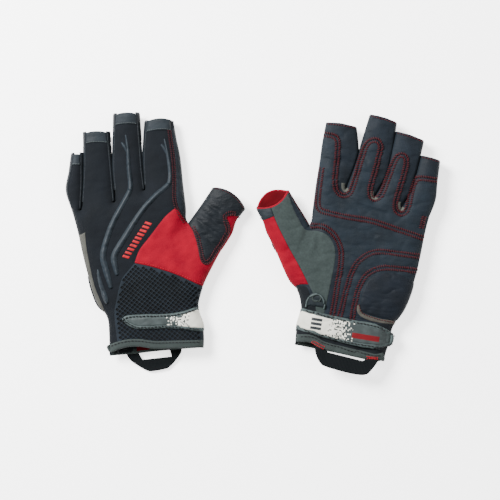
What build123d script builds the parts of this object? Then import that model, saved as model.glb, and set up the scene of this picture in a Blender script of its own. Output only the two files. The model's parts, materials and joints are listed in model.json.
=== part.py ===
"""A pair of short-finger sailing gloves: one lies with its back up, the other with its palm up.

Both are built from the same functions in a glove's own frame: +X to the thumb side, +Y to the
fingertips, +Z out of the back of the hand, with z = 0 on the outermost face of the palm.
Each glove is then placed by its own plane. All sizes are in millimetres.
"""
from math import cos, radians, sin
import os

from build123d import *

os.makedirs("parts", exist_ok=True)

# Layers through the hand, from the palm outwards.
pad_layer = 1.0
palm_skin = 1.6
hand_cavity_height = 15.8
back_skin = 1.6
rib_height = 1.0
side_wall = 1.8

# Finger and thumb stalls.
stall_height = 15.0
stall_wall = 1.5
hem_length = 9.0
joint_gap = 0.4
side_gap = 0.3

# Cuff, binding and strap.
cuff_top = -6.0
cuff_length = 33.0
cuff_left = -38.0
cuff_right = 41.0
cuff_recess = 3.6
cuff_back_drop = 2.0
binding_length = 5.0
binding_proud = 0.8
strap_thickness = 1.6
strap_width = 21.0
strap_clearance = 0.3
patch_thickness = 0.7
rib_width = 2.6
loop_thickness = 1.4
loop_gap = 0.9
loop_rise = 0.6
tack_height = 0.8

# Heights worked out from the layers.
palm_inside = pad_layer + palm_skin
back_inside = palm_inside + hand_cavity_height
back_face = back_inside + back_skin
glove_height = back_face + rib_height
cuff_bottom_face = cuff_recess
cuff_top_face = back_face - cuff_back_drop
cuff_end = cuff_top - cuff_length
binding_end = cuff_end - binding_length
binding_bottom_face = cuff_bottom_face - binding_proud
binding_top_face = cuff_top_face + binding_proud
loop_start = binding_end - loop_gap
loop_low = binding_bottom_face + loop_rise
hook_low = strap_thickness
loop_patch_low = hook_low + patch_thickness + strap_clearance
tab_pivot = (cuff_right + strap_thickness / 2, strap_thickness / 2)
tab_end_gap = 0.4

# Each digit: base centre x and y, lean towards the thumb in degrees, length, base and tip width.
digits_back_up = {
    "index": (23.6, 97.0, 2.5, 55.5, 31.5, 23.0),
    "middle": (-6.2, 95.5, 4.4, 66.0, 25.0, 21.5),
    "ring": (-33.7, 88.5, 5.1, 60.0, 27.0, 22.5),
    "little": (-54.0, 84.5, 7.0, 48.0, 11.5, 10.5),
    "thumb": (54.5, 49.3, 40.8, 37.2, 33.0, 31.5),
}
digits_palm_up = {
    "index": (33.6, 97.0, 0.8, 54.5, 24.5, 22.2),
    "middle": (8.4, 96.0, -7.7, 67.5, 25.0, 22.0),
    "ring": (-16.4, 92.6, -9.2, 59.5, 24.0, 24.4),
    "little": (-40.9, 86.5, -5.9, 49.0, 25.0, 15.7),
    "thumb": (60.5, 50.3, 38.3, 38.0, 33.0, 31.0),
}
fingers = ["index", "middle", "ring", "little"]

# Edges of the hand: the ball of the thumb differs with the way each glove lies.
thumb_root_back_up = [(56.5, 22.5), (46.0, 7.5)]
thumb_root_palm_up = [(62.5, 21.5), (47.5, 7.5)]
outer_edge = [(-45.5, 8.0), (-49.0, 26.0), (-51.5, 48.0), (-53.0, 68.0)]

# Panels and patches, in the glove's own frame.
gusset_edge = [(31.6, 75.9), (19.2, 67.0), (-3.4, 43.7), (-9.0, 33.1), (11.7, 25.5), (32.1, 15.2)]
gusset_beyond = [(60.0, 0.0), (120.0, 40.0), (60.0, 75.9)]
mesh_edge = [(-9.0, 33.1), (-21.9, 19.9), (-28.2, 3.4), (-31.7, -11.8)]
mesh_beyond = [(60.0, -11.8), (60.0, 0.0), (32.1, 15.2), (11.7, 25.5)]
thumb_patch = [(45.5, 55.5), (36.0, 57.5), (28.0, 54.5), (22.0, 46.5), (20.2, 35.0), (20.8, -4.0),
               (30.0, -4.0), (45.0, 16.0), (58.0, 35.0)]
heel_patch = [(-45.0, 28.0), (-33.0, 33.0), (-20.0, 31.0), (-12.0, 26.0), (-7.5, 17.0),
              (-7.0, 0.0), (-12.0, -4.5), (-36.0, -4.5), (-43.0, 8.0)]
ribs = [
    [(26.0, 93.0), (16.7, 89.0), (5.1, 79.1), (-15.0, 55.5), (-24.2, 43.6), (-26.0, 36.0), (-24.8, 26.0)],
    [(-5.5, 92.0), (-12.3, 84.0), (-21.7, 71.0), (-28.4, 59.7), (-34.7, 43.1), (-33.7, 30.0), (-31.2, 16.0)],
    [(-40.5, 30.8), (-39.5, 17.7), (-36.2, 3.0)],
]

# Sewn end of the strap on the back, the free tab on the palm, and the pull loop.
strap_tip = (-25.7, -13.5)
strap_taper = (-18.0, -11.0)
strap_taper_low = (-14.0, -23.5)
strap_top = -10.0
tab_slope = 4.2
tab_curve_start = -23.0
tab_tip = -40.0
hook_length = 26.0
hook_margin = 3.0
loop_outer = [(-27.0, 0.0), (-21.0, -9.0), (-10.0, -14.6), (8.0, -14.6), (17.0, -9.6), (22.0, 0.0)]
loop_inner = [(-15.0, 0.0), (-13.0, -6.2), (10.0, -6.2), (12.0, 0.0)]
tack_centres = [-25.0, 22.5]
tack_size = (10.0, 2.5)

# How each glove lies: turned a little about the vertical, glove 2 also turned over.
turn_back_up = 6.8
turn_palm_up = 9.3
place_back_up = (-89.0, -48.6)
place_palm_up = (83.85, -52.9)


def glove_planes():
    """The plane of each glove's own frame, keyed by the glove's name."""
    turn_1 = radians(turn_back_up)
    turn_2 = radians(turn_palm_up)
    lying_on_palm = Plane(
        origin=(*place_back_up, 0),
        x_dir=(cos(turn_1), sin(turn_1), 0),
        z_dir=(0, 0, 1),
    )
    lying_on_back = Plane(
        origin=(*place_palm_up, glove_height),
        x_dir=(-cos(turn_2), sin(turn_2), 0),
        z_dir=(0, 0, -1),
    )
    return {"glove1": lying_on_palm, "glove2": lying_on_back}


def across(digit, along, offset):
    """A point beside a digit's centre line: along it from the base, and offset to the thumb side."""
    x, y, lean = digit[:3]
    a = radians(lean)
    return (x + along * sin(a) + offset * cos(a), y + along * cos(a) - offset * sin(a))


def half_width(digit, along):
    """Half the digit's width at a distance from its base."""
    length, base_width, tip_width = digit[3:]
    return (base_width + (tip_width - base_width) * along / length) / 2


def stall_quad(digit, start, end, inset):
    """The four corners of a stretch of a digit, its sides moved in by inset."""
    low = half_width(digit, start) - inset
    high = half_width(digit, end) - inset
    return [
        across(digit, start, -low),
        across(digit, start, low),
        across(digit, end, high),
        across(digit, end, -high),
    ]


def hand_outline(digits, thumb_root):
    """The hand's outline from the wrist round the thumb side, the finger bases and the outer edge."""
    points = [(cuff_left, cuff_top), (cuff_right, cuff_top), *reversed(thumb_root)]
    for name in ["thumb"] + fingers:
        base = half_width(digits[name], 0)
        points += [across(digits[name], 0, base), across(digits[name], 0, -base)]
    return points + list(reversed(outer_edge))


def cavity_outline(digits, thumb_root):
    """The same outline with each pair of neighbouring finger corners merged, for the inside."""
    corner = {n: half_width(digits[n], 0) for n in digits}
    points = [(cuff_left, cuff_top), (cuff_right, cuff_top), *reversed(thumb_root)]
    points += [across(digits["thumb"], 0, s * corner["thumb"]) for s in (1, -1)]
    points.append(across(digits["index"], 0, corner["index"]))
    for radial, ulnar in zip(fingers, fingers[1:]):
        here = across(digits[radial], 0, -corner[radial])
        there = across(digits[ulnar], 0, corner[ulnar])
        points.append(((here[0] + there[0]) / 2, min(here[1], there[1])))
    points.append(across(digits["little"], 0, -corner["little"]))
    return points + list(reversed(outer_edge))


def wrist_passage(length_up):
    """The rectangle that the hand passes through, from past the cuff's end to length_up above it."""
    left = cuff_left + side_wall
    right = cuff_right - side_wall
    low = binding_end - 1
    high = cuff_top + length_up
    return [(left, low), (right, low), (right, high), (left, high)]


def save(part, name):
    """Label a finished piece and write it to its own file."""
    part.label = name
    export_step(part, f"parts/{name}.step")


def make_palm(glove, plane, outline):
    """The flat leather panel under the palm, with the suede thumb patch and the heel pad on it."""
    with BuildPart() as palm:
        with BuildSketch(plane.offset(pad_layer)):
            Polygon(*outline, align=None)
        extrude(amount=palm_skin)
    save(palm.part, f"{glove}_palm_panel")

    with BuildPart() as overlay:
        with BuildSketch(plane):
            Polygon(*thumb_patch, align=None)
        extrude(amount=pad_layer)
    save(overlay.part, f"{glove}_palm_overlay")

    with BuildPart() as heel:
        with BuildSketch(plane):
            Polygon(*heel_patch, align=None)
        extrude(amount=pad_layer)
    save(heel.part, f"{glove}_heel_pad")


def make_back_shell(plane, digits, thumb_root, outline):
    """The hollow back with its side walls, open at the palm, the wrist and every digit."""
    with BuildPart() as shell:
        with BuildSketch(plane.offset(palm_inside)):
            Polygon(*outline, align=None)
        extrude(amount=back_face - palm_inside)
        with BuildSketch(plane.offset(palm_inside)):
            Polygon(*cavity_outline(digits, thumb_root), align=None)
            offset(amount=-side_wall, kind=Kind.INTERSECTION, mode=Mode.REPLACE)
            for digit in digits.values():
                Polygon(*stall_quad(digit, -2 * side_wall, 2 * side_wall, side_wall), align=None)
        extrude(amount=hand_cavity_height, mode=Mode.SUBTRACT)
        with BuildSketch(plane.offset(palm_inside)):
            Polygon(*wrist_passage(2 * side_wall), align=None)
        extrude(amount=cuff_top_face - back_skin - palm_inside, mode=Mode.SUBTRACT)
    return shell.part


def make_back(glove, plane, digits, thumb_root, outline):
    """Cut the back shell into its fabric panel, the red thumb gusset and the mesh over the wrist."""
    shell = make_back_shell(plane, digits, thumb_root, outline)
    gusset_area = gusset_edge + gusset_beyond
    mesh_area = mesh_edge + mesh_beyond

    with BuildPart() as gusset:
        add(shell)
        with BuildSketch(plane.offset(palm_inside)):
            Polygon(*gusset_area, align=None)
        extrude(amount=back_face, mode=Mode.INTERSECT)
    save(gusset.part, f"{glove}_thumb_gusset")

    with BuildPart() as mesh:
        add(shell)
        with BuildSketch(plane.offset(palm_inside)):
            Polygon(*mesh_area, align=None)
        extrude(amount=back_face, mode=Mode.INTERSECT)
    save(mesh.part, f"{glove}_wrist_mesh")

    with BuildPart() as back:
        add(shell)
        with BuildSketch(plane.offset(palm_inside)):
            Polygon(*gusset_area, align=None)
            Polygon(*mesh_area, align=None)
        extrude(amount=back_face, mode=Mode.SUBTRACT)
    save(back.part, f"{glove}_back_panel")

    with BuildPart() as trim:
        with BuildSketch(plane.offset(back_face)):
            for rib in ribs:
                with BuildLine() as path:
                    Polyline(*rib)
                trace(path.line, rib_width)
        extrude(amount=rib_height)
    save(trim.part, f"{glove}_back_ribs")


def make_tube(plane, low_face, high_face, left, right, start, end):
    """A flat rectangular sleeve round the wrist, open at both ends."""
    with BuildPart() as sleeve:
        with BuildSketch(plane.offset(low_face)):
            Polygon((left, end), (right, end), (right, start), (left, start), align=None)
        extrude(amount=high_face - low_face)
        with BuildSketch(plane.offset(cuff_bottom_face + back_skin)):
            Polygon(*wrist_passage(1), align=None)
        extrude(amount=cuff_top_face - cuff_bottom_face - 2 * back_skin, mode=Mode.SUBTRACT)
    return sleeve.part


def make_cuff(glove, plane):
    """The stretch cuff, the binding round its end, the bar tacks and the hanging loop."""
    cuff = make_tube(plane, cuff_bottom_face, cuff_top_face, cuff_left, cuff_right, cuff_top, cuff_end)
    save(cuff, f"{glove}_wrist_cuff")
    binding = make_tube(
        plane,
        binding_bottom_face,
        binding_top_face,
        cuff_left - binding_proud,
        cuff_right + binding_proud,
        cuff_end,
        binding_end,
    )
    save(binding, f"{glove}_cuff_binding")

    tack_y = (cuff_end + binding_end) / 2
    with BuildPart() as tacks:
        with BuildSketch(plane.offset(binding_bottom_face - tack_height)):
            with Locations(*[(x, tack_y) for x in tack_centres]):
                Rectangle(*tack_size)
        extrude(amount=tack_height)
    save(tacks.part, f"{glove}_bar_tacks")

    with BuildPart() as pull:
        with BuildSketch(plane.offset(loop_low)):
            Polygon(*[(x, y + loop_start) for x, y in loop_outer], align=None)
            Polygon(*[(x, y + loop_start) for x, y in loop_inner], align=None, mode=Mode.SUBTRACT)
        extrude(amount=loop_thickness)
    save(pull.part, f"{glove}_pull_loop")


def make_strap(glove, plane):
    """The wrist strap: its sewn end over the back and round the edge, and the tab under the palm."""
    strap_low = strap_top - strap_width
    wrap_bottom = strap_thickness + tab_end_gap
    with BuildPart() as base:
        with BuildSketch(plane.offset(cuff_top_face)):
            Polygon(
                strap_tip,
                strap_taper,
                (cuff_right + strap_thickness, strap_top),
                (cuff_right + strap_thickness, strap_low),
                strap_taper_low,
                align=None,
            )
        extrude(amount=strap_thickness)
        with BuildSketch(plane.offset(wrap_bottom)):
            Polygon(
                (cuff_right, strap_top),
                (cuff_right + strap_thickness, strap_top),
                (cuff_right + strap_thickness, strap_low),
                (cuff_right, strap_low),
                align=None,
            )
        extrude(amount=cuff_top_face + strap_thickness - wrap_bottom)
    save(base.part, f"{glove}_strap_base")

    tab_root = cuff_right + strap_thickness / 2 - tab_end_gap
    tab_high = strap_top - tab_slope
    with BuildPart() as tab:
        with BuildSketch(plane):
            with BuildLine():
                Polyline(
                    (tab_curve_start, tab_high),
                    (tab_root, strap_top),
                    (tab_root, strap_low),
                    (tab_curve_start, tab_high - strap_width),
                )
                ThreePointArc(
                    (tab_curve_start, tab_high - strap_width),
                    (tab_tip, tab_high - strap_width / 2),
                    (tab_curve_start, tab_high),
                )
            make_face()
        extrude(amount=strap_thickness)
    save(tab.part, f"{glove}_strap_tab")

    hook_right = tab_curve_start + hook_length
    hook_left = tab_curve_start - hook_margin
    hook_high = tab_high - hook_margin
    hook_end = tab_high - strap_width + hook_margin
    with BuildPart() as hook:
        with BuildSketch(plane.offset(hook_low)):
            Polygon(
                (hook_left, hook_end),
                (hook_right, hook_end),
                (hook_right, hook_high),
                (hook_left, hook_high),
                align=None,
            )
        extrude(amount=patch_thickness)
    save(hook.part, f"{glove}_hook_patch")

    with BuildPart() as loop_field:
        with BuildSketch(plane.offset(loop_patch_low)):
            Polygon(
                (cuff_left + hook_margin, hook_end),
                (hook_right + hook_length, hook_end),
                (hook_right + hook_length, hook_high),
                (cuff_left + hook_margin, hook_high),
                align=None,
            )
        extrude(amount=cuff_bottom_face - loop_patch_low)
    save(loop_field.part, f"{glove}_loop_patch")


def make_digit(glove, plane, name, digit):
    """One open stall: a flat palm strip, a back with its side walls, and the hem round the tip."""
    length = digit[3]
    hem_start = length - hem_length
    floor_strip = stall_quad(digit, joint_gap, hem_start, side_gap)
    hem_band = stall_quad(digit, hem_start, length, side_gap)
    inside = stall_quad(digit, -side_gap, length + side_gap, side_gap + stall_wall)
    cavity = stall_height - 2 * stall_wall

    with BuildPart() as palm:
        with BuildSketch(plane):
            Polygon(*floor_strip, align=None)
        extrude(amount=stall_wall)
    save(palm.part, f"{glove}_{name}_palm")

    with BuildPart() as back:
        with BuildSketch(plane.offset(stall_wall)):
            Polygon(*floor_strip, align=None)
        extrude(amount=stall_height - stall_wall)
        with BuildSketch(plane.offset(stall_wall)):
            Polygon(*inside, align=None)
        extrude(amount=cavity, mode=Mode.SUBTRACT)
    save(back.part, f"{glove}_{name}_back")

    with BuildPart() as hem:
        with BuildSketch(plane):
            Polygon(*hem_band, align=None)
        extrude(amount=stall_height)
        with BuildSketch(plane.offset(stall_wall)):
            Polygon(*inside, align=None)
        extrude(amount=cavity, mode=Mode.SUBTRACT)
    save(hem.part, f"{glove}_{name}_hem")


def make_glove(glove, plane, digits, thumb_root):
    """Every piece of one glove, in the order that it is sewn."""
    outline = hand_outline(digits, thumb_root)
    make_palm(glove, plane, outline)
    make_back(glove, plane, digits, thumb_root, outline)
    make_cuff(glove, plane)
    make_strap(glove, plane)
    for name, digit in digits.items():
        make_digit(glove, plane, name, digit)


planes = glove_planes()
make_glove("glove1", planes["glove1"], digits_back_up, thumb_root_back_up)
make_glove("glove2", planes["glove2"], digits_palm_up, thumb_root_palm_up)
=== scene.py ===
"""A pair of short-finger sailing gloves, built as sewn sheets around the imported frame.

Glove 1 lies on its palm and glove 2 on its back. Every panel is a thick sheet that is drawn in the
glove's own plan (millimetres, +x to the thumb, +y to the fingertips) and lifted onto the back or the
palm of a soft, hollow hand. The frame's joints give each glove's place and each digit's base.
"""

import json
import math

import bpy
import numpy as np
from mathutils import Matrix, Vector, noise
from mathutils.geometry import delaunay_2d_cdt


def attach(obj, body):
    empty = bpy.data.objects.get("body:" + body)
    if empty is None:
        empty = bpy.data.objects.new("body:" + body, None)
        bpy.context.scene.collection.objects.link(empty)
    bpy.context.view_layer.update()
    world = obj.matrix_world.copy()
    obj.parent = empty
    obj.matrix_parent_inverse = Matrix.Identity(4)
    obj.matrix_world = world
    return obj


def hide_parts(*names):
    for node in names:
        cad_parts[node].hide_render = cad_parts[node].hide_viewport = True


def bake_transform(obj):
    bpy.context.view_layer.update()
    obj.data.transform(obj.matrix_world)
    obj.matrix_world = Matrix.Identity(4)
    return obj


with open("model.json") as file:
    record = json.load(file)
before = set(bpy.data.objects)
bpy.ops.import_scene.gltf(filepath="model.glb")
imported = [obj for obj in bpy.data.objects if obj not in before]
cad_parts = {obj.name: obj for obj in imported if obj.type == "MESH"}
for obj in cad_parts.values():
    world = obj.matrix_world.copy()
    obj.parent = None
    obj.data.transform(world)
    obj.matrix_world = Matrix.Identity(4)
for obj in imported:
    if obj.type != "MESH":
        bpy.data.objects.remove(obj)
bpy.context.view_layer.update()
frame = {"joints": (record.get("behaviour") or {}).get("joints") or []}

MM = 0.001
BACK, PALM = 1, -1
LABEL = {BACK: "back", PALM: "palm"}
JOINTS = {j["name"]: j for j in frame["joints"]}
FINGERS = ("index", "middle", "ring", "little")
DIGITS = FINGERS + ("thumb",)

# Where the pull loop's hinge lies in a glove's own frame: it ties the plan to the frame.
LOOP_HINGE = (-2.0, -44.9, 4.1)

# Heights in a glove's own frame: crown of the back, floor of the palm and the side seam between.
HAND_CROWN, HAND_FLOOR, HAND_SEAM = 18.7, 2.1, 9.5
STALL_CROWN, STALL_FLOOR, STALL_SEAM = 14.6, 1.7, 7.6
CUFF_CROWN, CUFF_FLOOR, CUFF_SEAM = 17.4, 4.4, 10.8
# The rim is rounded over this width, as a superellipse of this power.
EDGE_ROUND, SECTION_POWER = 15.0, 2.3
WRIST_Y = -6.0
# The cloth's swells (height, size, seed), its folds' depth, and the limits and sink of all its relief.
SWELLS = ((0.55, 26, 3), (0.3, 9, 9))
FOLD_DEPTH = {BACK: 0.3, PALM: 0.8}
RELIEF_RANGE, RELIEF_SINK = (-1.4, 0.7), 0.3
# The surface's slope is taken over this step.
SLOPE_STEP = 0.4
# The side lines run this far past the tips, and what lies this far beside a digit still goes with it.
SPARE, BESIDE = 9.0, 2.0
# A length, and the base sheets' thickness.
BEND_LENGTH, SHELL_THICKNESS = 15.0, 1.2
# Points on the strap's free end and on the pull loop; pieces of those two stay where they are made.
BENDS = {"strap": ((43.2, -20.5, 0.8), (36.0, -20.5, 0.8)), "loop": ((-2, -44.4, 4.1), (-2, -48.0, 4.1))}

# ---------------------------------------------------------------- plan curves and small geometry


def smooth(points, step=1.4):
    """A Catmull-Rom curve through the points, sampled about every step millimetres."""
    p = np.array(points, float)
    if len(p) == 2:
        count = max(2, int(np.linalg.norm(p[1] - p[0]) / step) + 1)
        return np.linspace(p[0], p[1], count)
    ends = np.vstack([2 * p[0] - p[1], p, 2 * p[-1] - p[-2]])
    out = []
    for a, b, c, d in zip(ends, ends[1:], ends[2:], ends[3:]):
        count = max(2, int(np.linalg.norm(c - b) / step) + 1)
        t = np.linspace(0, 1, count, endpoint=False)[:, None]
        out.append(0.5 * (2 * b + (c - a) * t + (2 * a - 5 * b + 4 * c - d) * t**2
                          + (3 * b - 3 * c + d - a) * t**3))
    return np.vstack(out + [p[-1:]])


def resample(line, step):
    """The polyline's points at even spacing, with both ends kept."""
    line = np.array(line, float)
    gaps = np.linalg.norm(np.diff(line, axis=0), axis=1)
    run = np.concatenate([[0], np.cumsum(gaps)])
    count = max(2, int(round(run[-1] / step)) + 1)
    at = np.linspace(0, run[-1], count)
    return np.stack([np.interp(at, run, line[:, k]) for k in range(line.shape[1])], 1)


def side_normals(line):
    """Unit tangents and left-hand normals of a plan polyline."""
    tangent = np.gradient(line, axis=0)
    tangent /= np.maximum(np.linalg.norm(tangent, axis=1), 1e-9)[:, None]
    return tangent, np.stack([-tangent[:, 1], tangent[:, 0]], 1)


def offset_line(line, distance):
    """The polyline moved to its left by distance."""
    return line + side_normals(line)[1] * distance


def segments(lines):
    """Start and end points of every segment in a list of polylines."""
    starts = np.vstack([line[:-1] for line in lines])
    ends = np.vstack([line[1:] for line in lines])
    return starts, ends


def distance(points, segs):
    """Shortest distance from each plan point to a set of segments."""
    starts, ends = segs
    run = ends - starts
    length2 = np.maximum((run**2).sum(1), 1e-12)
    best = np.full(len(points), 1e9)
    for low in range(0, len(points), 4000):
        p = points[low:low + 4000]
        t = ((p[:, None] - starts[None]) * run[None]).sum(2) / length2
        near = starts[None] + np.clip(t, 0, 1)[:, :, None] * run[None]
        best[low:low + 4000] = np.sqrt(((p[:, None] - near) ** 2).sum(2)).min(1)
    return best


def inside(points, loop):
    """Whether each plan point is inside the closed loop."""
    x, y = points[:, 0][:, None], points[:, 1][:, None]
    a, b = loop, np.roll(loop, -1, axis=0)
    crosses = (a[:, 1] > y) != (b[:, 1] > y)
    rise = np.where(b[:, 1] == a[:, 1], 1e-12, b[:, 1] - a[:, 1])
    at = a[:, 0] + (y - a[:, 1]) / rise * (b[:, 0] - a[:, 0])
    return ((crosses & (x < at)).sum(1) % 2) == 1


def step_up(value, low, high):
    """A smooth step from 0 at low to 1 at high."""
    t = np.clip((value - low) / (high - low), 0, 1)
    return t * t * (3 - 2 * t)


def wave(points, scale, seed, octaves=2):
    """Smooth noise of the plan points, about -1 to 1."""
    return np.array([
        noise.fractal(Vector((x / scale, y / scale, seed)), 0.9, 2.1, octaves) for x, y in points
    ])


def warp_between(source, target):
    """A smooth plan warp that carries the source landmarks to the target ones."""
    source, target = np.array(source, float), np.array(target, float)
    bend = lambda away: away**2 * np.log(away + 1e-6)
    count = len(source)
    base = np.hstack([np.ones((count, 1)), source])
    gap = bend(np.linalg.norm(source[:, None] - source[None], axis=2))
    system = np.block([[gap, base], [base.T, np.zeros((3, 3))]])
    weights = np.linalg.solve(system, np.vstack([target - source, np.zeros((3, 2))]))

    def warp(points):
        points = np.array(points, float)
        away = bend(np.linalg.norm(points[:, None] - source[None], axis=2))
        return points + np.hstack([away, np.ones((len(points), 1)), points]) @ weights

    return warp


def nearest_index(line, point):
    """The index of the polyline's point that is nearest to a point."""
    return int(np.linalg.norm(line - point, axis=1).argmin())


def double(line, first, second):
    """Two rows of stitching beside a line."""
    return [offset_line(line, first), offset_line(line, second)]


def cut(line, start, end):
    """The stretch of a polyline between its points nearest to start and to end."""
    first, last = nearest_index(line, start), nearest_index(line, end)
    return line[first:last + 1] if first <= last else line[last:first + 1][::-1]


def close(*parts):
    """One closed, counter-clockwise loop through the parts, with doubled points left out."""
    loop = np.vstack(parts)
    gaps = np.linalg.norm(loop - np.roll(loop, 1, axis=0), axis=1)
    loop = loop[gaps > 0.3]
    x, y = loop[:, 0], loop[:, 1]
    area = (x * np.roll(y, -1) - np.roll(x, -1) * y).sum()
    return loop if area > 0 else loop[::-1]


def outline(corners, step):
    """A closed loop with straight sides between the corners."""
    corners = list(corners)
    return close(*[resample([p, q], step)[:-1] for p, q in zip(corners, corners[1:] + corners[:1])])


# ---------------------------------------------------------------- the two gloves' plans

# Each digit's sides: distances along it from the base, then offsets to the outer and the thumb side.
SIDES = {
    "glove1": {
        "index": ((0, 23, 40, 55), (-16.8, -16.6, -14.7, -11.3), (16.0, 15.3, 13.1, 11.0)),
        "middle": ((0, 20, 48, 65), (-12.9, -14.2, -12.5, -11.0), (12.9, 12.1, 11.4, 10.8)),
        "ring": ((0, 20, 40, 59), (-14.6, -13.2, -12.2, -11.8), (13.4, 12.8, 11.9, 10.7)),
        "little": ((0, 17, 34, 47), (-3.6, -8.8, -6.2, -3.4), (4.3, 5.9, 6.4, 6.2)),
        "thumb": ((0, 14, 27, 37), (-18.0, -17.6, -17.5, -17.8), (17.6, 17.0, 13.8, 15.3)),
    },
    "glove2": {
        "index": ((0, 23, 36, 54), (-12.5, -17.6, -18.4, -11.4), (12.6, 12.4, 12.6, 11.5)),
        "middle": ((0, 22, 40, 67), (-12.8, -17.6, -16.4, -11.2), (12.6, 10.9, 11.0, 11.0)),
        "ring": ((0, 12, 30, 58), (-12.1, -15.4, -15.4, -12.0), (12.2, 9.5, 9.4, 13.0)),
        "little": ((0, 16, 32, 48), (-12.6, -14.0, -11.4, -7.9), (12.4, 8.3, 7.6, 7.8)),
        "thumb": ((0, 12, 24, 35), (-17.7, -17.3, -16.6, -16.2), (16.8, 16.8, 14.6, 13.8)),
    },
}
# How far each digit's sides reach, and how far the end bows out between them.
REACH = {
    "glove1": {"index": 54.3, "middle": 64.8, "ring": 58.8, "little": 47.0, "thumb": 38.4},
    "glove2": {"index": 54.4, "middle": 67.2, "ring": 59.5, "little": 49.3, "thumb": 34.6},
}
BOW = {
    "glove1": {BACK: {"index": 2.6, "middle": 2.0, "ring": 2.2, "little": 0.6, "thumb": 4.6},
               PALM: {"index": 0.4, "middle": 0.4, "ring": 0.4, "little": 0.2, "thumb": -4.6}},
    "glove2": {BACK: {"index": 1.6, "middle": 1.4, "ring": 1.4, "little": 0.6, "thumb": 7.4},
               PALM: {"index": 0.3, "middle": 0.3, "ring": 0.3, "little": 0.1, "thumb": -5.4}},
}

# How far the stalls' side pieces stand past the hems.
PROUD = {"glove1": 2.4, "glove2": 0.2}

# The hand's free edges, from the cuff up: the little-finger side, and the thumb side in two parts.
OUTER_EDGE = {
    "glove1": [(-39.5, -44.5), (-39, -36), (-38, -24), (-37.5, -14), (-39.5, -6), (-44.4, 1), (-47.6, 12),
               (-50.2, 28), (-52.4, 45), (-54.0, 62), (-55.9, 76)],
    "glove2": [(-35.5, -44.5), (-35.8, -36), (-37.5, -26), (-37.8, -15), (-40.5, -6), (-44.5, 4),
               (-48, 18), (-50.6, 36), (-51.6, 52), (-52.1, 68), (-52.8, 79)],
}
HEEL_EDGE = {
    "glove1": [(40.5, -46), (41.8, -36), (42.0, -26), (39.5, -14), (41, -6), (45, 4), (50, 13),
               (57, 23.5), (64, 33.5)],
    "glove2": [(41, -42), (42, -34), (42.2, -24), (41, -12), (43, -3), (47.4, 5.6), (55.2, 12.0),
               (62, 21.5), (68, 31)],
}
CROTCH_EDGE = {"glove1": [(40.4, 61.0), (38.6, 66), (39.6, 75)],
               "glove2": [(46.4, 61.2), (45.0, 66), (45.4, 76)]}
# Where the cuff ends on the back and on the palm, from the outer to the thumb side.
LIPS = {
    "glove1": {BACK: [(-39.3, -40), (-26, -37), (-14, -37.6), (0, -41), (20, -43), (40.4, -45)],
               PALM: [(-39.5, -43), (-20, -43.8), (10, -44.2), (40.4, -45.4)]},
    "glove2": {BACK: [(-35.5, -42.6), (-20, -43.2), (20, -41.8), (41, -41)],
               PALM: [(-35.5, -41), (-28, -43.6), (-18, -43.2), (17, -40.4), (29, -36.6), (41, -38)]},
}
# Landmarks that the two plans share, for carrying a line from one glove's plan to the other's.
LANDMARKS = {
    "glove1": [(-38, -40), (41, -40), (-38, -10), (40, -8), (-46, 8), (46, 7.5), (-52, 48), (-54, 71),
               (57, 23.5), (40.2, 61), (77, 50), (66.3, 89.5), (88, 68.5), (6.8, 97.1), (-19.3, 92.4),
               (-47.5, 84), (39.5, 96), (-57, 85), (25.8, 152), (-1, 160), (-29, 148), (-47.5, 131)],
    "glove2": [(-36, -40), (41, -38), (-38, -12), (41, -8), (-46, 8), (47.5, 7.5), (-51.5, 48), (-52.3, 71),
               (63, 22.5), (46.5, 61), (81.5, 50), (69.7, 90), (92, 68.5), (21.1, 96.8), (-4.4, 95.7),
               (-28.1, 89.1), (45.8, 96.8), (-53.3, 85), (34.3, 151), (-0.7, 162.5), (-25.9, 151),
               (-45.9, 135)],
}

# Panel edges and seams. Lines on the back are drawn in glove 1's plan, lines on the palm in glove 2's.
RED_TOP = [(39.0, 63.5), (35.5, 70), (31.6, 75.9)]
RED_SIDE = [(31.6, 75.9), (25, 71.8), (19.2, 67.0), (6.4, 53.8), (-3.4, 43.7), (-9.0, 33.1)]
RED_FOOT = [(-9.0, 33.1), (2, 29.5), (11.7, 25.5), (22, 20.8), (32.1, 15.2), (46.5, 6.2)]
MESH_SIDE = [(-9.0, 33.1), (-15.5, 27), (-21.9, 19.9), (-28.2, 3.4), (-31.7, -11.8), (-31.5, -45)]
WRAP_EDGE = [(35.6, 143), (35.9, 130), (35.9, 112.6), (34.6, 97), (33.2, 82.6), (35.2, 72), (39.2, 63)]
THUMB_SHIELD = [(40.4, 61.0), (43.0, 55), (45.2, 46.5), (46.2, 37), (46.9, 29.5), (49.2, 25.0),
                (53.2, 24.2), (57.6, 27.4), (62.5, 33.6), (68.1, 39.6), (73.2, 46.4), (76.0, 51.8),
                (75.6, 57.6), (74.4, 62.8), (80.2, 63.2), (86.5, 60.8)]
RIBS = {
    "index": [[(29.0, 136), (30.1, 122.0), (30.5, 109.0), (28.9, 98.5), (23.5, 93.5), (16.7, 89.0),
               (5.1, 79.1), (-4.9, 68.1), (-15.0, 55.5), (-24.2, 43.6), (-26.0, 37.0), (-24.8, 24.6)],
              [(25.6, 131.5), (28.2, 127.5), (29.9, 122.0)]],
    "middle": [[(-3.6, 143.3), (-3.4, 130.3), (-4.5, 113.2), (-4.8, 98.5), (-8, 91.5), (-12.3, 85.5),
                (-21.7, 71.9), (-28.4, 59.7), (-34.7, 43.1), (-33.7, 30.0), (-31.2, 14.1)],
               [(-8.1, 137.2), (-5.6, 133), (-3.6, 127)]],
    "ring": [[(-40.5, 31.5), (-40.4, 26), (-39.5, 17.7), (-36.2, 1.7)]],
}
MARK_LINE = [(-16.6, 37.9), (8.0, 66.8)]
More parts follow.
